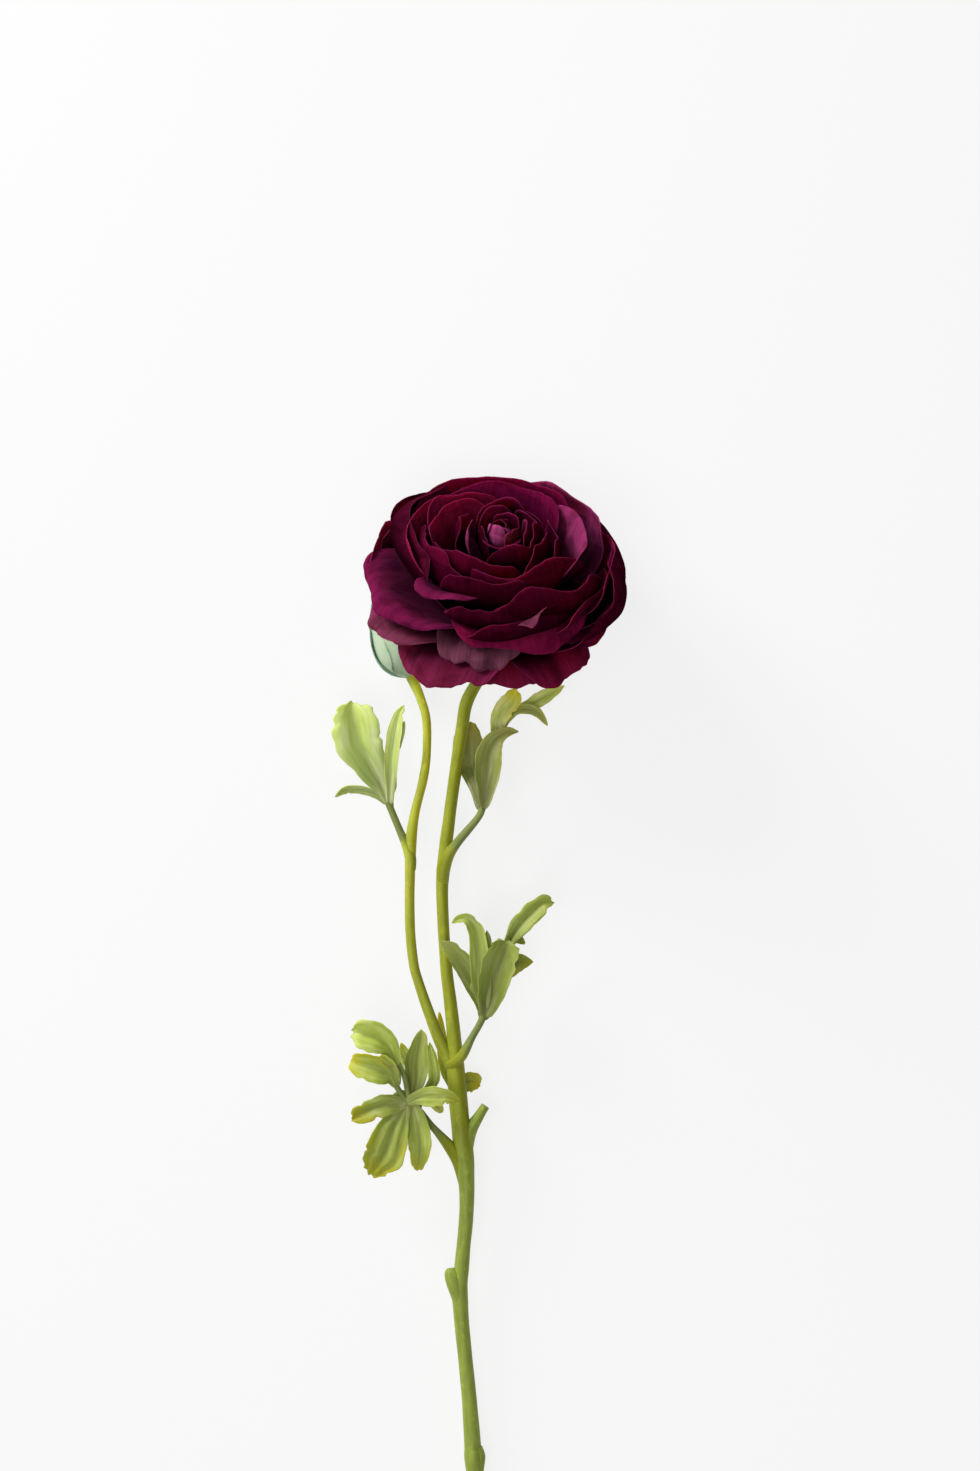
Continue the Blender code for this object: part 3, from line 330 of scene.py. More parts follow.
LOWER_LOBES = (
    Lobe(((-18, -11.6, 15.6, 1.4), (-20.5, -9.6, 16.4, 3.4), (-23.8, -8.4, 16.6, 3.6), (-27, -8, 16.4, 1.4)),
         cup=0.1, gold=0.1),
    Lobe(((-23, -0.5, 17.6, 0.9), (-25.6, 5.4, 18, 2.1), (-27.9, 9.2, 19, 3.6), (-31.2, 11.5, 20, 4.7),
          (-35.5, 12.9, 20.2, 4.6), (-38.6, 13.4, 19.2, 2.6)), cup=0.35, folds=1.5, gold=0, tone=1.2),
    Lobe(((-25, -4, 18, 1), (-26.3, -0.6, 19, 2.7), (-30, 1.4, 20.5, 4), (-34, 2.5, 20.6, 4.1),
          (-37.5, 3.6, 19.4, 3), (-39.2, 4.2, 18, 1.2)), cup=0.5, gold=1, notches=((0.6, -1, 0.14),)),
    Lobe(((-24.6, -2.6, 19, 1), (-26, 1.6, 20.4, 1.5), (-28.4, 4.8, 21.2, 1.5), (-30.4, 5.8, 21, 0.5)),
         cup=0.5, gold=0.8),
    Lobe(((-21, -9, 17, 1.3), (-25, -9.3, 17.5, 2.7), (-28.4, -9.6, 18, 3.6), (-32, -10.6, 18, 3.2),
          (-35.7, -12.3, 17, 3.3), (-39, -14.4, 16, 1.5)), gold=1, folds=1.5,
         notches=((0.6, -1, 0.2), (0.74, 1, 0.22)), tone=0.8),
    Lobe(((-21.4, -8, 17, 1.5), (-24.4, -13.5, 17.5, 3.6), (-26.6, -18.5, 18, 5.6), (-28.6, -24, 17, 6.2),
          (-31, -28, 15, 5), (-33.4, -31.7, 13, 2.8)), cup=0.15, folds=3, gold=0.85,
         notches=((0.66, 1, 0.16), (0.82, -1, 0.14), (0.88, 1, 0.2)), tone=0.85),
    Lobe(((-20.6, -8, 17, 1.4), (-18.8, -14.5, 17, 3.3), (-18, -19.5, 16.5, 3.6), (-17.9, -24, 15.5, 3.2),
          (-18.4, -28, 14, 2.2), (-19, -30.4, 13, 0.9)), cup=0.4, gold=0.7),
    Lobe(((-22, -9, 17.3, 1.3), (-18.8, -7.4, 18, 2.2), (-15.3, -6.8, 19, 3.1), (-11.5, -6.8, 19.5, 3),
          (-8.5, -7, 19.2, 2), (-5.8, -8.2, 18.2, 1)), cup=0.2, gold=0.5,
         notches=((0.55, 1, 0.1), (0.7, 1, 0.35))),
    Lobe(((-14.5, -7.5, 17.6, 1.8), (-12, -10.4, 17.8, 1.5), (-10.8, -11.8, 17.6, 0.7)), cup=0.1, gold=0.8),
    Lobe(((-21, -9.5, 17, 1.2), (-19, -2.2, 15.5, 2.8), (-18.8, 3, 14.5, 3.9), (-18.3, 7.2, 14, 3.1),
          (-17.6, 11, 14, 2), (-17.4, 13.6, 14, 0.7)), cup=0.35, tone=0.7),
    Lobe(((-19.5, -1, 13.8, 1.4), (-22, 5, 13.8, 1.7), (-23.8, 9.4, 13.8, 0.6)), cup=0.1, gold=0.9),
    Lobe(((-20.5, -8.6, 16.6, 1.1), (-16.5, -6, 13, 1.2), (-13.7, -2.5, 10, 1.8), (-14, 2.5, 8, 1.9),
          (-15, 9, 7, 0.7)), cup=0.1, gold=0),
)
BACK_LOBES = (
    Lobe(((-6.5, -7, 6.6, 1.2), (-4, -4.2, 5.5, 2.9), (-1.3, -3.7, 5, 3.2), (0.8, -4.6, 4.6, 1.9)), cup=0.1,
         gold=1),
    Lobe(((-6.3, -7.5, 6.6, 1.2), (-9.3, 0, 5.5, 2.4), (-11, 8, 5, 1.8), (-12, 18.4, 4.5, 0.7)), cup=0.1,
         gold=0.8),
)
LEAVES = {
    "leaf_bud_stem": Leaf(
        stalk=((-20.7, 63, 12, 1.5), (-20.9, 67, 12.2, 1.8), (-22.2, 71, 12, 1.5), (-23.8, 74.5, 11.9, 1.2),
               (-25.5, 78.5, 12, 1.1), (-28, 84.5, 12, 1.1)),
        lobes=BUD_STEM_LOBES,
    ),
    "leaf_upper": Leaf(
        stalk=((-10.9, 59, 11, 1.9), (-10.6, 63.5, 11.6, 2.2), (-9.2, 67.6, 12.6, 1.9),
               (-6.8, 71, 13.6, 1.5), (-3.5, 75, 15, 1.3), (0.5, 80, 16.5, 1.1), (1.5, 82.3, 17, 1.1)),
        stalklets=(
            ((1.5, 81.5, 16.5, 0.9), (4, 91, 15.5, 0.8), (5.5, 100.5, 15, 0.8), (6.7, 107, 15.3, 0.8)),
        ),
        lobes=UPPER_LOBES,
    ),
    "leaf_middle": Leaf(
        stalk=((-9.4, 2.4, 11.8, 1.2), (-7.4, 3.2, 12.8, 1.7), (-4.7, 5.6, 14, 1.6), (-1.8, 11, 15, 1.15),
               (1, 16, 16, 1.1), (2.2, 19.5, 16.5, 1.3)),
        lobes=MIDDLE_LOBES,
    ),
    "leaf_lower": Leaf(
        stalk=((-4, -35, 8.6, 1.9), (-5.6, -28.4, 9.4, 2.3), (-8.6, -23.4, 11.2, 1.9), (-12, -19, 13.6, 1.3),
               (-14.5, -16, 15, 1.05), (-18, -11.5, 16, 1.05), (-21, -8.7, 17, 1.2)),
        stalklets=(
            ((-21, -9, 17, 1), (-22.5, -1, 17.5, 0.9), (-24.5, 3.5, 18, 0.9)),
            ((-21.5, -9, 17, 1), (-24, -5.5, 17.7, 0.9), (-25.5, -3, 18.3, 0.9)),
        ),
        lobes=LOWER_LOBES,
    ),
    "leaf_back": Leaf(
        stalk=((-5.8, -10, 9.6, 1.4), (-6, -8, 7.6, 1.2), (-6.3, -6, 6.3, 1.1)),
        lobes=BACK_LOBES,
    ),
}
KNOB = ((-4.8, -77, 7.2, 1.6), (-5.8, -71, 7.7, 2.2), (-7.3, -66, 8.1, 2.5), (-8.2, -63, 8.2, 2.2),
        (-8.4, -61.6, 8.2, 1.3))
LOW_JOINT = ((-1.4, -119, 4.8, 2.75), (-1.25, -121.5, 4.7, 2.9), (-0.9, -127, 4.4, 2.55))
LOW_SHEATH = ((0, -118.2, 5, 1.5), (0.8, -120.8, 5, 1.65), (0.8, -123, 4.8, 1.5), (0, -128, 4.4, 1.6))

# How uneven the stems and stalks are
STEM_BUMPS = 0.06
JOINT_BUMPS = 0.04
STALK_BUMPS = 0.08
BUD_STEM_SEED = 3

# Shares of its length between which each turns to its far colour, and those that side pieces stand for
STEM_TURN = (0.58, 0.72)
BUD_STEM_TURN = (0.35, 1.0)
STALK_TURN = (0.42, 0.62)
SIDE_REACH = (0.7, 1.0)

# Cells round and along; for the leaves' stalks, along means for each station
STEM_CELLS = (28, 260)
SIDE_CELLS = (24, 24)
BUD_STEM_CELLS = (24, 160)
LOBE_CELLS = (36, 48)
STALK_CELLS = (20, 12)
STALKLET_CELLS = (14, 10)


def shade(tree, kind, inputs=None, **settings):
    """A new node with its settings, and its inputs set to values or joined to other nodes' outputs."""
    node = tree.nodes.new("ShaderNode" + kind)
    for name, value in settings.items():
        setattr(node, name, value)
    for name, value in (inputs or {}).items():
        if isinstance(value, bpy.types.NodeSocket):
            tree.links.new(value, node.inputs[name])
        else:
            node.inputs[name].default_value = value
    return node


def calculate(tree, operation, a, b=0.0, c=0.0):
    """The result of a Math node."""
    return shade(tree, "Math", {0: a, 1: b, 2: c}, operation=operation).outputs[0]


def product(tree, a, b):
    """One value times the other."""
    return calculate(tree, "MULTIPLY", a, b)


def blend(tree, factor, a, b, how="MIX"):
    """Colour a turned towards colour b by the factor."""
    colors = [(*c, 1) if isinstance(c, tuple) and len(c) == 3 else c for c in (a, b)]
    inputs = {0: factor, 6: colors[0], 7: colors[1]}
    return shade(tree, "Mix", inputs, data_type="RGBA", blend_type=how).outputs[2]


def toned(tree, color, tone):
    """The colour, lighter or darker by the tone."""
    grey = shade(tree, "CombineColor", {0: tone, 1: tone, 2: tone}).outputs[0]
    return blend(tree, 1.0, color, grey, "MULTIPLY")


def steps(tree, value, low, high, to_low=0.0, to_high=1.0):
    """The value's place between low and high, smoothly stretched to run from to_low to to_high."""
    inputs = {"Value": value, "From Min": low, "From Max": high, "To Min": to_low, "To Max": to_high}
    return shade(tree, "MapRange", inputs, interpolation_type="SMOOTHSTEP").outputs[0]


def one_step(tree, value, start):
    """How far the value is on its way from start to the next whole number, and nothing well beyond that."""
    inside = calculate(tree, "LESS_THAN", value, start + 1.5)
    return product(tree, steps(tree, value, start, start + 1), inside)


def stretched_noise(tree, vector, scale, **inputs):
    """Noise on the vector, stretched by a scale for each direction."""
    place = shade(tree, "VectorMath", {0: vector, 1: scale}, operation="MULTIPLY").outputs[0]
    inputs = {"Vector": place, "Scale": 1.0, **{name.title(): value for name, value in inputs.items()}}
    return shade(tree, "TexNoise", inputs).outputs["Fac"]


def uv_of(tree, name="uv"):
    return shade(tree, "UVMap", uv_map=name).outputs[0]


def split_uv(tree, name="uv"):
    """The two values that a UV map holds."""
    return shade(tree, "SeparateXYZ", {0: uv_of(tree, name)}).outputs[:2]


def object_place(tree):
    return shade(tree, "TexCoord").outputs["Object"]


def new_group(name, outputs):
    """An empty node group on a UV map: the tree, the map's output in it and its output node."""
    tree = bpy.data.node_groups.new(name, "ShaderNodeTree")
    tree.interface.new_socket(name="UV", in_out="INPUT", socket_type="NodeSocketVector")
    for socket in outputs:
        tree.interface.new_socket(name=socket, in_out="OUTPUT", socket_type="NodeSocketFloat")
    return tree, tree.nodes.new("NodeGroupInput").outputs["UV"], tree.nodes.new("NodeGroupOutput")


def use_group(tree, group):
    """What the group gives for the material's own UV map."""
    return shade(tree, "Group", {"UV": uv_of(tree)}, node_tree=group).outputs


def build_streaks():
    """Fine and broad lines that run from the root of a petal to its rim, and wrinkles across it."""
    tree, uv, made = new_group("petal_streaks", ("Fine", "Broad", "Wrinkles"))
    fine = stretched_noise(tree, uv, FINE_LINES, detail=3.0, roughness=0.65)
    broad = stretched_noise(tree, uv, BROAD_LINES, detail=2.0, roughness=0.5)
    across = stretched_noise(tree, uv, WRINKLES, detail=2.0, roughness=0.5)
    patches = steps(tree, stretched_noise(tree, uv, WRINKLE_PATCHES, detail=1.0), 0.5, 0.62)
    tree.links.new(fine, made.inputs["Fine"])
    tree.links.new(broad, made.inputs["Broad"])
    tree.links.new(product(tree, across, patches), made.inputs["Wrinkles"])
    return tree


def build_leaf_marks():
    """Marks on a lobe, whose UV runs across from -1 to 1, plus 4 for each lobe, and along from 0 to 1."""
    tree, uv, made = new_group("leaf_marks", ("Groove", "Streaks", "Patches", "Rim", "Along"))
    across, along, _ = shade(tree, "SeparateXYZ", {0: uv}).outputs
    streaks = stretched_noise(tree, uv, LEAF_STREAKS, detail=2.0, roughness=0.5)
    wobble = calculate(tree, "MULTIPLY_ADD", streaks, 0.16, -0.08)
    side = calculate(tree, "ABSOLUTE", calculate(tree, "WRAP", across, 2.0, -2.0))
    side = calculate(tree, "ADD", side, wobble)
    patches = steps(tree, stretched_noise(tree, uv, LEAF_PATCHES, detail=1.0), 0.5, 0.66)
    groove = product(tree, steps(tree, side, 0.02, 0.24, 1.0, 0.0), steps(tree, along, 0.75, 1.0, 1.0, 0.0))
    tip = steps(tree, calculate(tree, "ADD", along, wobble), 0.55, 0.98)
    edge = product(tree, steps(tree, side, 0.2, 0.95), steps(tree, along, 0.25, 0.6))
    spread = steps(tree, stretched_noise(tree, uv, EDGE_SPREAD, detail=1.0), 0.35, 0.55)
    rim = calculate(tree, "MAXIMUM", product(tree, edge, spread), tip)
    outputs = {"Groove": groove, "Streaks": streaks, "Patches": patches, "Rim": rim, "Along": along}
    for name, value in outputs.items():
        tree.links.new(value, made.inputs[name])
    return tree


def new_finish(name, **sockets):
    """A material with plain values set on its shader's own sockets: its tree and its shader."""
    finish = bpy.data.materials.new(name)
    finish.use_nodes = True
    shader = finish.node_tree.nodes["Principled BSDF"]
    for socket, value in sockets.items():
        shader.inputs[socket.replace("_", " ").title().replace("Ior", "IOR")].default_value = value
    return finish, finish.node_tree, shader


def surface(tree, shader, color, roughness, height, depth):
    """Joins the colour, the roughness and the relief to the shader."""
    relief = shade(tree, "Bump", {"Height": height, "Strength": 1.0, "Distance": depth * MM})
    tree.links.new(color, shader.inputs["Base Color"])
    tree.links.new(roughness, shader.inputs["Roughness"])
    tree.links.new(relief.outputs[0], shader.inputs["Normal"])


# How often each pattern repeats: across, along, and off the surface
FINE_LINES = (26, 1.6, 1)
BROAD_LINES = (6, 0.8, 1)
WRINKLES = (3, 60, 1)
WRINKLE_PATCHES = (1.1, 4, 1)
LEAF_STREAKS = (3.2, 1.8, 1)
LEAF_PATCHES = (2.2, 2.6, 1)
EDGE_SPREAD = (0.9, 3.0, 1)
STEM_LINES = (9, 1.2, 1)

# How often each pattern repeats in a metre along X, Y and Z
LEAF_GRAIN = (700, 700, 700)
STEM_MOTTLE = (90, 45, 90)
STEM_SPOTS = (520, 400, 520)

USUAL = (0.3, 0.7)          # where most of a noise's values lie

# Millimetres that the relief of a skin is deep
PETAL_RELIEF = 0.14
SKIN_RELIEF = 0.12
PLAIN_RELIEF = 0.1

# How far light spreads inside, in metres, and how much of it in red, green and blue
SOFT_DEPTH = 0.002
PETAL_SOFTNESS = (1.0, 0.04, 0.12)
LEAF_SOFTNESS = (0.75, 1.0, 0.4)

# Colours of the surfaces, as linear red, green and blue
# painted shade
DEEP_SHADE = (0.010, 0.0002, 0.0025)
BURGUNDY = (0.057, 0.0012, 0.0125)
WINE = (0.115, 0.0028, 0.034)
MAUVE = (0.15, 0.045, 0.075)
# painted light: a lit rose, also the painted highlight on the rims
LIT_ROSE = (0.30, 0.042, 0.145)
# a painted glow in shaded petals
PAINTED_GLOW = (0.27, 0.010, 0.055)

LEAF_GREEN = (0.41, 0.50, 0.11)
LEAF_PALE = (0.54, 0.64, 0.22)
LEAF_LIGHT = (0.70, 0.76, 0.42)
LEAF_GOLD = (0.56, 0.53, 0.012)
LEAF_GROOVE_SHADE = (0.20, 0.23, 0.035)
LEAF_GREY = (0.22, 0.27, 0.09)
# The stems' and stalks' left and right colours paint light and shade on their two sides.
STEM_GREEN = (0.28, 0.31, 0.022)
STEM_LIGHT = (0.42, 0.45, 0.05)
STEM_OLIVE = (0.24, 0.257, 0.006)
STEM_GOLD = (0.53, 0.495, 0.008)
STEM_FRESH = (0.26, 0.328, 0.048)
STALK_GREY = (0.19, 0.235, 0.06)
SAGE = (0.42, 0.51, 0.35)
SAGE_FRESH = (0.34, 0.50, 0.30)
SAGE_DEEP = (0.10, 0.21, 0.12)


def petal_finish(name, streaks, inner, lit):
    """Petal skin: streaked root to rim, with painted shade at the root and a painted highlight on its thin
    rim.
    """
    finish, tree, shader = new_finish(name, specular_ior_level=0.0, subsurface_weight=0.2,
                                      subsurface_scale=SOFT_DEPTH, subsurface_radius=PETAL_SOFTNESS)
    lines = use_group(tree, streaks)
    along = split_uv(tree)[1]
    from_rim, mauve_and_painted_light = split_uv(tree, "rim")
    color = blend(tree, one_step(tree, mauve_and_painted_light, 0.0), inner, MAUVE)
    # Painted shade: darker towards the root, where the petals lie deep in the bloom's shade.
    color = blend(tree, steps(tree, along, *lit), DEEP_SHADE, color)
    # Painted light: from 2 to 3 the petal is painted a lit rose, and from 4 to 5 a red glow lights up its
    # shade.
    color = blend(tree, one_step(tree, mauve_and_painted_light, 2.0), color, LIT_ROSE)
    color = blend(tree, one_step(tree, mauve_and_painted_light, 4.0), color, PAINTED_GLOW)
    # Painted shade: petals with a value below 0 are painted darker.
    color = blend(tree, steps(tree, mauve_and_painted_light, -1.0, 0.0, 1.0, 0.0), color, DEEP_SHADE)
    tone = steps(tree, lines["Fine"], *USUAL, 0.86, 1.12)
    tone = product(tree, tone, steps(tree, lines["Broad"], *USUAL, 0.84, 1.14))
    tone = product(tree, tone, steps(tree, lines["Wrinkles"], 0.0, 0.6, 1.06, 0.72))
    color = toned(tree, color, tone)
    # Painted highlight: a thin lighter rose line along the rim, where it catches the light.
    color = blend(tree, steps(tree, from_rim, 0.0, 0.35, 0.25, 0.0), color, LIT_ROSE)
    height = calculate(tree, "MULTIPLY_ADD", lines["Broad"], 0.9, lines["Fine"])
    height = calculate(tree, "MULTIPLY_ADD", lines["Wrinkles"], 0.8, height)
    surface(tree, shader, color, steps(tree, lines["Fine"], *USUAL, 0.5, 0.65), height, PETAL_RELIEF)
    return finish


def leaf_finish(name, marks, tint):
    """Soft leaf skin: grey green at the stalk, streaked and patched with paler green, golden at the rim,
    with painted shade in its groove.
    """
    finish, tree, shader = new_finish(name, specular_ior_level=0.3, subsurface_weight=0.3,
                                      subsurface_scale=SOFT_DEPTH, subsurface_radius=LEAF_SOFTNESS)
    parts = use_group(tree, marks)
    tone, gold = split_uv(tree, "rim")
    grain = stretched_noise(tree, object_place(tree), LEAF_GRAIN, detail=2.0)
    base = blend(tree, steps(tree, parts["Streaks"], *USUAL), LEAF_GREEN, LEAF_PALE)
    base = blend(tree, steps(tree, parts["Along"], 0.0, 0.5, 0.6, 0.0), base, LEAF_GREY)
    base = blend(tree, product(tree, parts["Patches"], 0.45), base, LEAF_LIGHT)
    # Painted shade: darker along the vein's groove.
    base = blend(tree, product(tree, parts["Groove"], 0.35), base, LEAF_GROOVE_SHADE)
    base = blend(tree, product(tree, parts["Rim"], gold), base, LEAF_GOLD)
    # Painted light and shade: each lobe's tone, and partly the leaf's tint, make it lighter or darker.
    base = toned(tree, blend(tree, 1.0, base, tint, "MULTIPLY"), tone)
    height = calculate(tree, "MULTIPLY_ADD", parts["Streaks"], 1.2, product(tree, grain, 0.3))
    surface(tree, shader, base, steps(tree, grain, *USUAL, 0.42, 0.52), height, SKIN_RELIEF)
    return finish


def stem_finish(name, left, right, far, far_reach):
    """Smooth stem skin with a left and a right colour, painted light and shade, turning to the far colour
    along it.
    """
    finish, tree, shader = new_finish(name, specular_ior_level=0.2)
    turn = product(tree, split_uv(tree)[0], 2 * math.pi)
    lines = stretched_noise(tree, uv_of(tree), STEM_LINES, detail=3.0, roughness=0.6)
    mottle = stretched_noise(tree, object_place(tree), STEM_MOTTLE, detail=3.0)
    spots = stretched_noise(tree, object_place(tree), STEM_SPOTS, detail=1.0)
    # Painted light and shade: one side of the stem is painted lighter and the other darker.
    base = blend(tree, steps(tree, calculate(tree, "COSINE", turn), -0.9, 0.5), right, left)
    along = calculate(tree, "MULTIPLY_ADD", mottle, 0.12, split_uv(tree, "rim")[0])
    base = blend(tree, steps(tree, along, *far_reach), base, far)
    tone = product(tree, steps(tree, lines, *USUAL, 0.86, 1.1), steps(tree, spots, 0.62, 0.72, 1.0, 1.18))
    base = toned(tree, base, tone)
    surface(tree, shader, base, steps(tree, lines, *USUAL, 0.38, 0.55), lines, SKIN_RELIEF)
    return finish


def bud_finish(name, streaks):
    """Waxy pale sage sepals with thin lines along them, darker at their rims, one painted dark all over as
    shade.
    """
    finish, tree, shader = new_finish(name, specular_ior_level=0.35, sheen_weight=0.15)
    lines = use_group(tree, streaks)
    from_rim, mauve_and_painted_light = split_uv(tree, "rim")
    color = blend(tree, steps(tree, lines["Broad"], *USUAL, 0.0, 0.5), SAGE, SAGE_FRESH)
    color = blend(tree, steps(tree, from_rim, 0.2, 1.2, 0.35, 0.0), color, SAGE_DEEP)
    # Painted shade: a sepal with a value of 1 is painted dark all over.
    color = blend(tree, mauve_and_painted_light, color, SAGE_DEEP)
    surface(tree, shader, color, steps(tree, lines["Fine"], *USUAL, 0.45, 0.6), lines["Fine"], SKIN_RELIEF)
    return finish


def plain_finish(name, color, roughness=0.5, patch_scale=200):
    """A surface with soft darker patches."""
    finish, tree, shader = new_finish(name, specular_ior_level=0.3)
    patches = stretched_noise(tree, object_place(tree), (patch_scale,) * 3, detail=3.0)
    base = blend(tree, patches, color, tuple(0.85 * c for c in color))
    roughness = steps(tree, patches, *USUAL, roughness, roughness + 0.1)
    surface(tree, shader, base, roughness, patches, PLAIN_RELIEF)
    return finish


def parabola(start, middle, end, t):
    """The value at t on the parabola from start through middle, half way, to end."""
    control = 2 * middle - (start + end) / 2
    return start * (1 - t) ** 2 + control * 2 * t * (1 - t) + end * t * t


def smooth_route(stations, count):
    """count + 1 stations at even steps along a smooth curve through the given ones."""
    points = [Vector(station) for station in stations]
    points = [2 * points[0] - points[1], *points, 2 * points[-1] - points[-2]]
    route = []
    for i in range(count + 1):
        whole = min(int(i / count * (len(stations) - 1)), len(stations) - 2)
        t = i / count * (len(stations) - 1) - whole
        a, b, c, d = points[whole:whole + 4]
        route.append(b + (c - a) * t / 2 + (a - 2.5 * b + 2 * c - d / 2) * t ** 2
                     + (1.5 * b - a / 2 - 1.5 * c + d / 2) * t ** 3)
    return route


def frames(stations, count):
    """For each station of the smooth route: place, direction, level direction to its left, up and width."""
    route = smooth_route(stations, count)
    places = [Vector(station[:3]) for station in route]
    result = []
    for i, place in enumerate(places):
        along = (places[min(i + 1, count)] - places[max(i - 1, 0)]).normalized()
        left = UP.cross(along).normalized()
        result.append((place, along, left, along.cross(left), route[i][3]))
    return result


def new_object(name, data):
    """A new object in the scene, at its origin."""
    thing = bpy.data.objects.new(name, data)
    bpy.context.scene.collection.objects.link(thing)
    return thing


def new_piece(name, bm, finishes, node):
    """A shown piece with bm's mesh, turned from millimetres into metres, on the part's only body."""
    bm.transform(Matrix.Scale(MM, 4))
    mesh = bpy.data.meshes.new(name)
    bm.to_mesh(mesh)
    bm.free()
    mesh.shade_smooth()
    for finish in finishes:
        mesh.materials.append(finish)
    piece = new_object(name, mesh)
    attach(piece, "root")
    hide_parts(node)
    return piece


def give_thickness(piece, thickness, back_finish=0):
    """Turns the piece's sheets into thin closed blades, whose backs take the finish of that number."""
    solid = piece.modifiers.new("Thickness", "SOLIDIFY")
    solid.thickness = thickness * MM
    solid.offset = 0
    solid.material_offset = back_finish


def new_sheets():
    """An empty mesh with two UV maps.

    The second, rim, holds a petal's distance from its rim and its value of mauve and painted light, a lobe's
    tone of painted light and its gold, or the share of the way along a stem.
    """
    bm = bmesh.new()
    return bm, bm.loops.layers.uv.new("uv"), bm.loops.layers.uv.new("rim")


def write_maps(sheets, maps):
    """Gives each vertex its places on the two UV maps."""
    _, uv, rim_uv = sheets
    for face in {face for vert in maps for face in vert.link_faces}:
        for loop in face.loops:
            loop[uv].uv, loop[rim_uv].uv = maps[loop.vert]


def new_grid(sheets, cells):
    """The vertices of a new flat grid, from -1 to 1 each way."""
    return bmesh.ops.create_grid(sheets[0], x_segments=cells[0], y_segments=cells[1], size=1)["verts"]


def uneven(seed, a, b=0.0):
    """Smooth noise at that place, another for each seed."""
    return noise.noise(Vector((seed, a, b)))


def past(start, t):
    """How far t is on its way from start to 1."""
    return max(0, (t - start) / (1 - start))


def petal_profile(petal):
    """Where the petal starts, what it passes half way and where it ends, each as radius and height."""
    radius, height = petal.rim
    root = Vector(petal.root or (1 + 0.2 * radius, 11 - 0.55 * radius))
    belly = Vector(petal.belly or (0.97 * radius + 1.2, root.y + 0.42 * (height - root.y)))
    return root, belly, Vector(petal.rim)


def petal_reach(petal, seed, across, t):
    """How far towards its rim the petal reaches there, with its rounded and notched outline."""
    side = math.sin(math.pi / 2 * across)
    notch = NOTCH * uneven(seed, 1.6 * side) + TOOTH * uneven(seed, 6 * side, 4)
    notch += FRAY * uneven(seed, 17 * side, 8)
    notch += SCALLOP * petal.pleat * (abs(math.cos(petal.pleats * side * math.pi / 4 + seed)) - 0.6)
    notch -= CORNER * past(0.5, abs(across)) ** 2
    return t * (1 - petal.crown * (1 - math.cos(math.pi / 2 * across)) + notch * t)


def petal_point(petal, profile, side, reach, half):
    """Where the petal is there, before it is turned round the axis: to the right, outwards and up."""
    radius, height = parabola(*profile, reach)
    roll = petal.lip * past(LIP_START, reach) ** 2
    radius = (radius + roll) * (1 + petal.skew * side * min(1, 2 * reach))
    height += petal.tilt * side * reach - LIP_DROP * roll
    bend = max(radius * (1 - petal.cup), half / MAX_WRAP)
    angle = side * half / bend
    right = bend * math.sin(angle)
    out = radius - bend * (1 - math.cos(angle)) - petal.tuck * max(0, right) ** 2 / half
    return right, out, height


def petal_wave(petal, seed, side, t, half):
    """How far the petal leaves its even form there, with waves, pleats and a crinkled, frilled rim."""
    swell = ROLLING * math.sin(1.7 * math.pi * side + seed) + UNEVEN * uneven(seed, 1.7 * side, 1.3 * t)
    fold = (1 - 0.5 * abs(side)) * math.sin(petal.pleats * side * math.pi / 2 + seed)
    crinkle = CRINKLE * t * uneven(seed, 0.16 * half * side, 2.2 * t + 7)
    frill = FRILL * past(FRILL_START, t) ** 2 * uneven(seed, 0.45 * half * side, 9)
    wave = petal.ripple * t * t * swell + petal.pleat * t * fold
    return wave + min(1, petal.width / FULL_CRINKLE) * (crinkle + frill)


def add_petal(sheets, petal, seed, cells):
    """Adds the petal's surface round the +Z axis, with its front towards -Y."""
    root, belly, rim = petal_profile(petal)
    length = (belly - root).length + (rim - belly).length
    cos, sin = math.cos(math.radians(petal.turn)), math.sin(math.radians(petal.turn))
    waves, maps = {}, {}
    for vert in new_grid(sheets, cells):
        side = math.sin(math.pi / 2 * vert.co.x)
        t = (vert.co.y + 1) / 2
        spread = math.sin(math.pi / 2 * min(1, t / SHOULDER)) ** 0.9
        half = petal.width / 2 * (CLAW_WIDTH + (1 - CLAW_WIDTH) * spread)
        reach = petal_reach(petal, seed, vert.co.x, t)
        right, out, height = petal_point(petal, (root, belly, rim), side, reach, half)
        from_rim = min((1 - t) * length, (1 - abs(side)) * half)
        waves[vert] = petal_wave(petal, seed, side, t, half)
        maps[vert] = ((side * half / PATTERN_UNIT + seed, t), (from_rim, petal.mauve_and_painted_light))
        vert.co = (right * cos + out * sin, right * sin - out * cos, height)
    sheets[0].normal_update()
    for vert, wave in waves.items():
        vert.co += vert.normal * wave
    write_maps(sheets, maps)


def petal_ring(petals, seeds, cells, place, thickness):
    """A mesh of petals at their place, flattened where their blades would sink into the table."""
    sheets = new_sheets()
    for petal, seed in zip(petals, seeds):
        add_petal(sheets, petal, seed, cells)
    bm = sheets[0]
    bm.transform(place)
    for vert in bm.verts:
        vert.co.z = max(vert.co.z, thickness / 2)
    return bm


def ball_mesh(balls, place):
    """A mesh of ellipsoids at their place, each given by its half sizes, its height and its fineness."""
    bm = bmesh.new()
    for half_sizes, height, fineness in balls:
        made = bmesh.ops.create_icosphere(bm, subdivisions=fineness, radius=1)["verts"]
        bmesh.ops.scale(bm, vec=half_sizes, verts=made)
        bmesh.ops.translate(bm, vec=(0, 0, height), verts=made)
    bm.transform(place)
    return bm


def bloom_place():
    """Turns the bloom's own frame into the part's."""
    return Matrix.Translation(BLOOM_CENTRE) @ Matrix.Rotation(BLOOM_RISE - math.pi / 2, 4, "X")


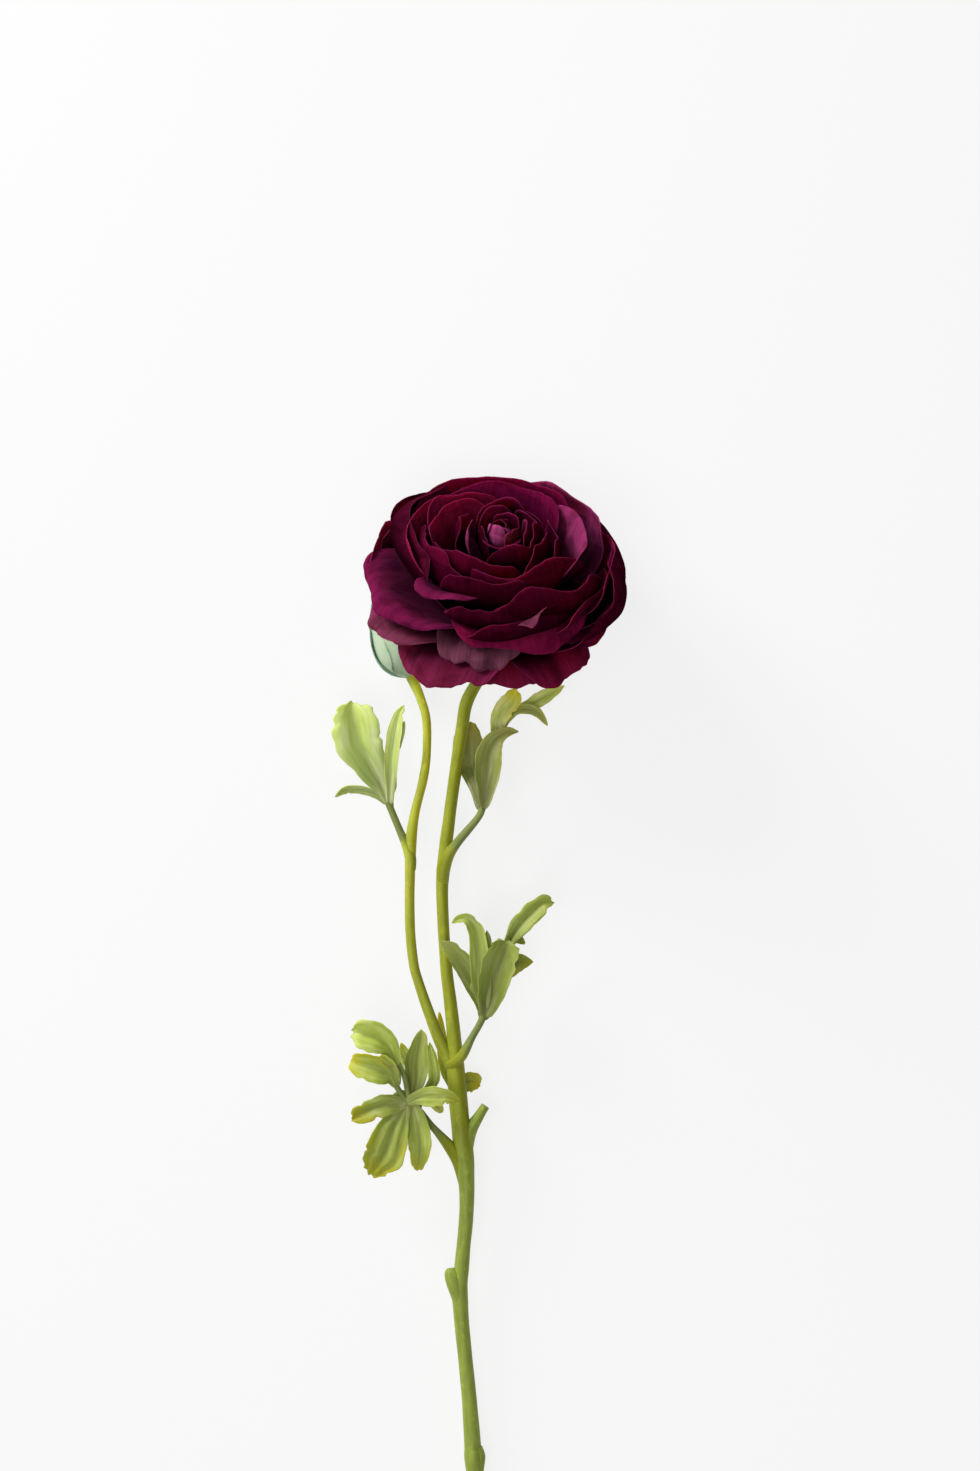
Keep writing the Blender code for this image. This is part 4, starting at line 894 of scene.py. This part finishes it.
def bud_place():
    """Turns the bud's own frame into the part's."""
    turn = Matrix.Rotation(BUD_LEAN, 4, "Z") @ Matrix.Rotation(-math.pi / 2 - BUD_DROP, 4, "X")
    return Matrix.Translation(BUD_BASE) @ turn


def make_bloom(streaks):
    """The open bloom's petals, in four rings from its closed heart to its loose skirt."""
    # The last values say where the painted shade at the root gives way to the petal's colour, higher up on
    # the backs.
    face = petal_finish("petal_face", streaks, WINE, (0.48, 1.0))
    back = petal_finish("petal_back", streaks, BURGUNDY, (0.6, 1.05))
    for name, petals, cells, first, shift in RINGS:
        seeds = [SEED_STEP * (first + i) + FIRST_SEED for i in range(len(petals))]
        place = bloom_place() @ Matrix.Translation(shift)
        bm = petal_ring(petals, seeds, cells, place, PETAL_THICKNESS)
        give_thickness(new_piece(name, bm, (back, face), "bloom"), PETAL_THICKNESS, 1)
    # The solid heart is painted near black, as the shade deep inside the bloom.
    core = ball_mesh([(HEART_SIZE, HEART_HEIGHT, 4)], bloom_place())
    new_piece("bloom_core", core, (plain_finish("bloom_core", DEEP_SHADE, 0.6, 300),), "bloom")


def make_sepals(name, streaks, sepals, cells, place):
    """The thin sepals of the calyx or the bud."""
    bm = petal_ring(sepals, range(len(sepals)), cells, place, SEPAL_THICKNESS)
    piece = new_piece(name + "_sepals", bm, (bud_finish(name, streaks),), name)
    give_thickness(piece, SEPAL_THICKNESS)


def make_calyx(streaks):
    """The green cup behind the bloom, with its five sepals spread."""
    make_sepals("calyx", streaks, CALYX_SEPALS, CALYX_CELLS, bloom_place())
    cup = ball_mesh([(CALYX_SIZE, CALYX_HEIGHT, 4)], bloom_place())
    new_piece("calyx_cup", cup, (plain_finish("calyx_cup", STEM_FRESH),), "calyx")


def make_bud(streaks):
    """The closed bud: an egg wrapped in its sepals."""
    make_sepals("bud", streaks, BUD_SEPALS, BUD_CELLS, bud_place())
    half_sizes = (BUD_RADIUS, BUD_RADIUS, BUD_LENGTH / 2 - BUD_INSET)
    egg = ball_mesh([(half_sizes, BUD_LENGTH / 2, 5), (BUD_FOOT, BUD_FOOT_HEIGHT, 4)], bud_place())
    new_piece("bud_egg", egg, (plain_finish("bud_egg", SAGE),), "bud")


def close_tube(bm, made):
    """Joins the two long sides of a rolled grid and fills the holes at its ends."""
    bmesh.ops.remove_doubles(bm, verts=made, dist=SEAM)
    bmesh.ops.holes_fill(bm, edges=[edge for edge in bm.edges if edge.is_boundary])


def add_tube(sheets, stations, cells, bumps, seed=0.0, reach=(0.0, 1.0)):
    """Adds a round, slightly uneven stem with closed ends, coloured as that reach of a whole stem."""
    count = cells[1]
    spine = frames(stations, count)
    made = new_grid(sheets, cells)
    maps = {}
    for vert in made:
        i = round((vert.co.y + 1) / 2 * count)
        turn = math.pi * vert.co.x
        place, _, left, up, radius = spine[i]
        along = reach[0] + (reach[1] - reach[0]) * i / count
        maps[vert] = (((vert.co.x + 1) / 2, place.y / PATTERN_UNIT), (along, 0))
        level = place.y / BUMP_LENGTH + place.x / BUMP_LENGTH
        bump = uneven(seed + math.cos(turn), math.sin(turn), level)
        vert.co = place + radius * (1 + bumps * bump) * (math.cos(turn) * left + math.sin(turn) * up)
    write_maps(sheets, maps)
    close_tube(sheets[0], made)


def make_stems():
    """The flower's stem with its cut side shoot and its knob, and the bud's stem, which leaves it."""
    green = stem_finish("stem", STEM_GREEN, STEM_OLIVE, STEM_FRESH, STEM_TURN)
    golden = stem_finish("bud_stem", STEM_LIGHT, STEM_GOLD, STEM_GREEN, BUD_STEM_TURN)
    sheets = new_sheets()
    add_tube(sheets, FLOWER_STEM, STEM_CELLS, STEM_BUMPS)
    for stations in (STUB, KNOB, LOW_JOINT, LOW_SHEATH):
        bumps = JOINT_BUMPS if stations is LOW_JOINT else STEM_BUMPS
        add_tube(sheets, stations, SIDE_CELLS, bumps, reach=SIDE_REACH)
    new_piece("flower_stem_skin", sheets[0], (green,), "flower_stem")
    sheets = new_sheets()
    add_tube(sheets, BUD_STEM, BUD_STEM_CELLS, STEM_BUMPS, BUD_STEM_SEED)
    new_piece("bud_stem_skin", sheets[0], (golden,), "bud_stem")


def end_share(t, tip):
    """How much of its width and thickness a lobe has at t, so that both its ends are round."""
    beyond = max(past(tip, t), 1 - t / BASE_END)
    return math.sqrt(max(0.01, 1 - beyond ** 2))


def lobe_width(lobe, half, t, side, seed):
    """Half the width of a lobe at t on one side, with its round tip, its uneven edge and its notches."""
    half *= end_share(t, lobe.tip)
    half *= 1 + EDGE_WAVE * uneven(seed, 7 * t, 5 * side)
    half *= 1 + EDGE_TEETH * uneven(seed, 17 * t, 5 * side) * min(1, 1.5 * t)
    for place, notch_side, depth in lobe.notches:
        if notch_side * side > 0:
            half *= 1 - depth * math.exp(-((t - place) / NOTCH_WIDTH) ** 2)
    return half


def lobe_lift(lobe, half, t, side, seed):
    """How far a lobe rises there above its vein: raised and waved edges, ridges and the vein's groove."""
    wave = lobe.ripple * t * abs(side) * uneven(seed, 3.5 * t, 3 * side)
    groove = VEIN_DEPTH * half * math.exp(-(side / VEIN_WIDTH) ** 2)
    ridges = RIDGE * half * (1 - math.cos(lobe.folds * math.pi * side)) * min(1, 3 * t)
    return lobe.cup * half * side ** 2 + wave + ridges - groove * min(1, 4 * t)


def lobe_thickness(lobe, t):
    """How thick a lobe is at t, growing towards its stalk."""
    stalk = STALK_DEPTH * lobe.stations[0][3]
    thick = LEAF_THICKNESS + (stalk - LEAF_THICKNESS) * max(0, 1 - t / STALK_SHARE) ** 2
    return thick * end_share(t, lobe.tip)


def lobe_teeth(lobe, half, t, side, seed):
    """How far the ragged rim of the tip runs ahead there."""
    width = side * end_share(t, lobe.tip)
    teeth = TIP_TEETH * uneven(seed, 2.6 * width, 3) * past(TIP_START, t)
    return teeth * min(1, half / 3)


def add_lobe(sheets, lobe, seed):
    """Adds one lobe: a fleshy blade swept along its vein, grooved there, with its edges raised and waved."""
    along = LOBE_CELLS[1]
    spine = frames(lobe.stations, along)
    tilt = math.radians(lobe.roll)
    made = new_grid(sheets, LOBE_CELLS)
    maps = {}
    for vert in made:
        i = round((vert.co.y + 1) / 2 * along)
        t = i / along
        side = math.cos(math.pi * vert.co.x)
        place, ahead, left, up, full = spine[i]
        sideways = math.cos(tilt) * left + math.sin(tilt) * up
        face = math.cos(tilt) * up - math.sin(tilt) * left
        half = lobe_width(lobe, full, t, side, seed)
        round_edge = math.copysign(abs(math.sin(math.pi * vert.co.x)) ** EDGE_ROUNDING, vert.co.x)
        lift = lobe_lift(lobe, half, t, side, seed) + round_edge * lobe_thickness(lobe, t) / 2
        teeth = lobe_teeth(lobe, full, t, side, seed)
        maps[vert] = ((side + 4 * seed, t), (lobe.tone, lobe.gold))
        vert.co = place - side * half * sideways + lift * face + teeth * ahead
    write_maps(sheets, maps)
    close_tube(sheets[0], made)


def make_leaves(marks):
    """Every divided leaf: its blades and its stalks."""
    stalk = stem_finish("leaf_stalk", STEM_GREEN, STEM_OLIVE, STALK_GREY, STALK_TURN)
    light_stalk = stem_finish("light_leaf_stalk", STEM_GREEN, STEM_LIGHT, STALK_GREY, STALK_TURN)
    for name, leaf in LEAVES.items():
        blade = leaf_finish(name, marks, LEAF_TINTS_AND_LIGHT[name])
        sheets = new_sheets()
        for i, lobe in enumerate(leaf.lobes):
            add_lobe(sheets, lobe, i + len(name))
        new_piece(name + "_blades", sheets[0], (blade,), name)
        sheets = new_sheets()
        around, along = STALK_CELLS
        add_tube(sheets, leaf.stalk, (around, along * len(leaf.stalk)), STALK_BUMPS, len(name))
        around, along = STALKLET_CELLS
        for stations in leaf.stalklets:
            add_tube(sheets, stations, (around, along * len(stations)), STALK_BUMPS, len(name), SIDE_REACH)
        finish = light_stalk if name == "leaf_bud_stem" else stalk
        new_piece(name + "_stalk", sheets[0], (finish,), name)


def make_table():
    """The pale table top that the flower lies on."""
    bm = bmesh.new()
    bmesh.ops.create_grid(bm, x_segments=1, y_segments=1, size=TABLE_REACH)
    mesh = bpy.data.meshes.new("table")
    bm.to_mesh(mesh)
    bm.free()
    finish, _, _ = new_finish("table", roughness=0.9, specular_ior_level=0.1, base_color=TABLE_COLOR,
                              emission_color=WHITE, emission_strength=TABLE_GLOW)
    mesh.materials.append(finish)
    table = new_object("table", mesh)


def make_light(name, place, target, size, power):
    """A soft square light, turned towards its target."""
    lamp = bpy.data.lights.new(name, "AREA")
    lamp.size = size
    lamp.energy = power
    holder = new_object(name, lamp)
    holder.location = place
    holder.rotation_euler = (Vector(target) - holder.location).to_track_quat("-Z", "Y").to_euler()


def make_lights():
    """A soft key light from the left and above the bloom, a weak fill, and an even sky."""
    make_light("key", *KEY_LIGHT)
    make_light("fill", *FILL_LIGHT)
    world = bpy.data.worlds.new("sky")
    bpy.context.scene.world = world
    world.use_nodes = True
    sky = world.node_tree.nodes["Background"]
    sky.inputs["Color"].default_value = WHITE
    sky.inputs["Strength"].default_value = SKY_LIGHT
    bpy.context.scene.view_settings.view_transform = "Standard"


def make_camera():
    """The photograph's camera, looking straight down."""
    camera = bpy.data.cameras.new("camera")
    camera.sensor_width = SENSOR
    camera.lens = SENSOR * CAMERA_PLACE[2] / VIEW_HEIGHT
    camera.clip_start = NEAREST_SEEN * MM
    holder = new_object("camera", camera)
    holder.location = Vector(CAMERA_PLACE) * MM
    bpy.context.scene.camera = holder


make_camera()
petal_streaks = build_streaks()
make_bloom(petal_streaks)
make_calyx(petal_streaks)
make_bud(petal_streaks)
make_stems()
make_leaves(build_leaf_marks())
make_table()
make_lights()
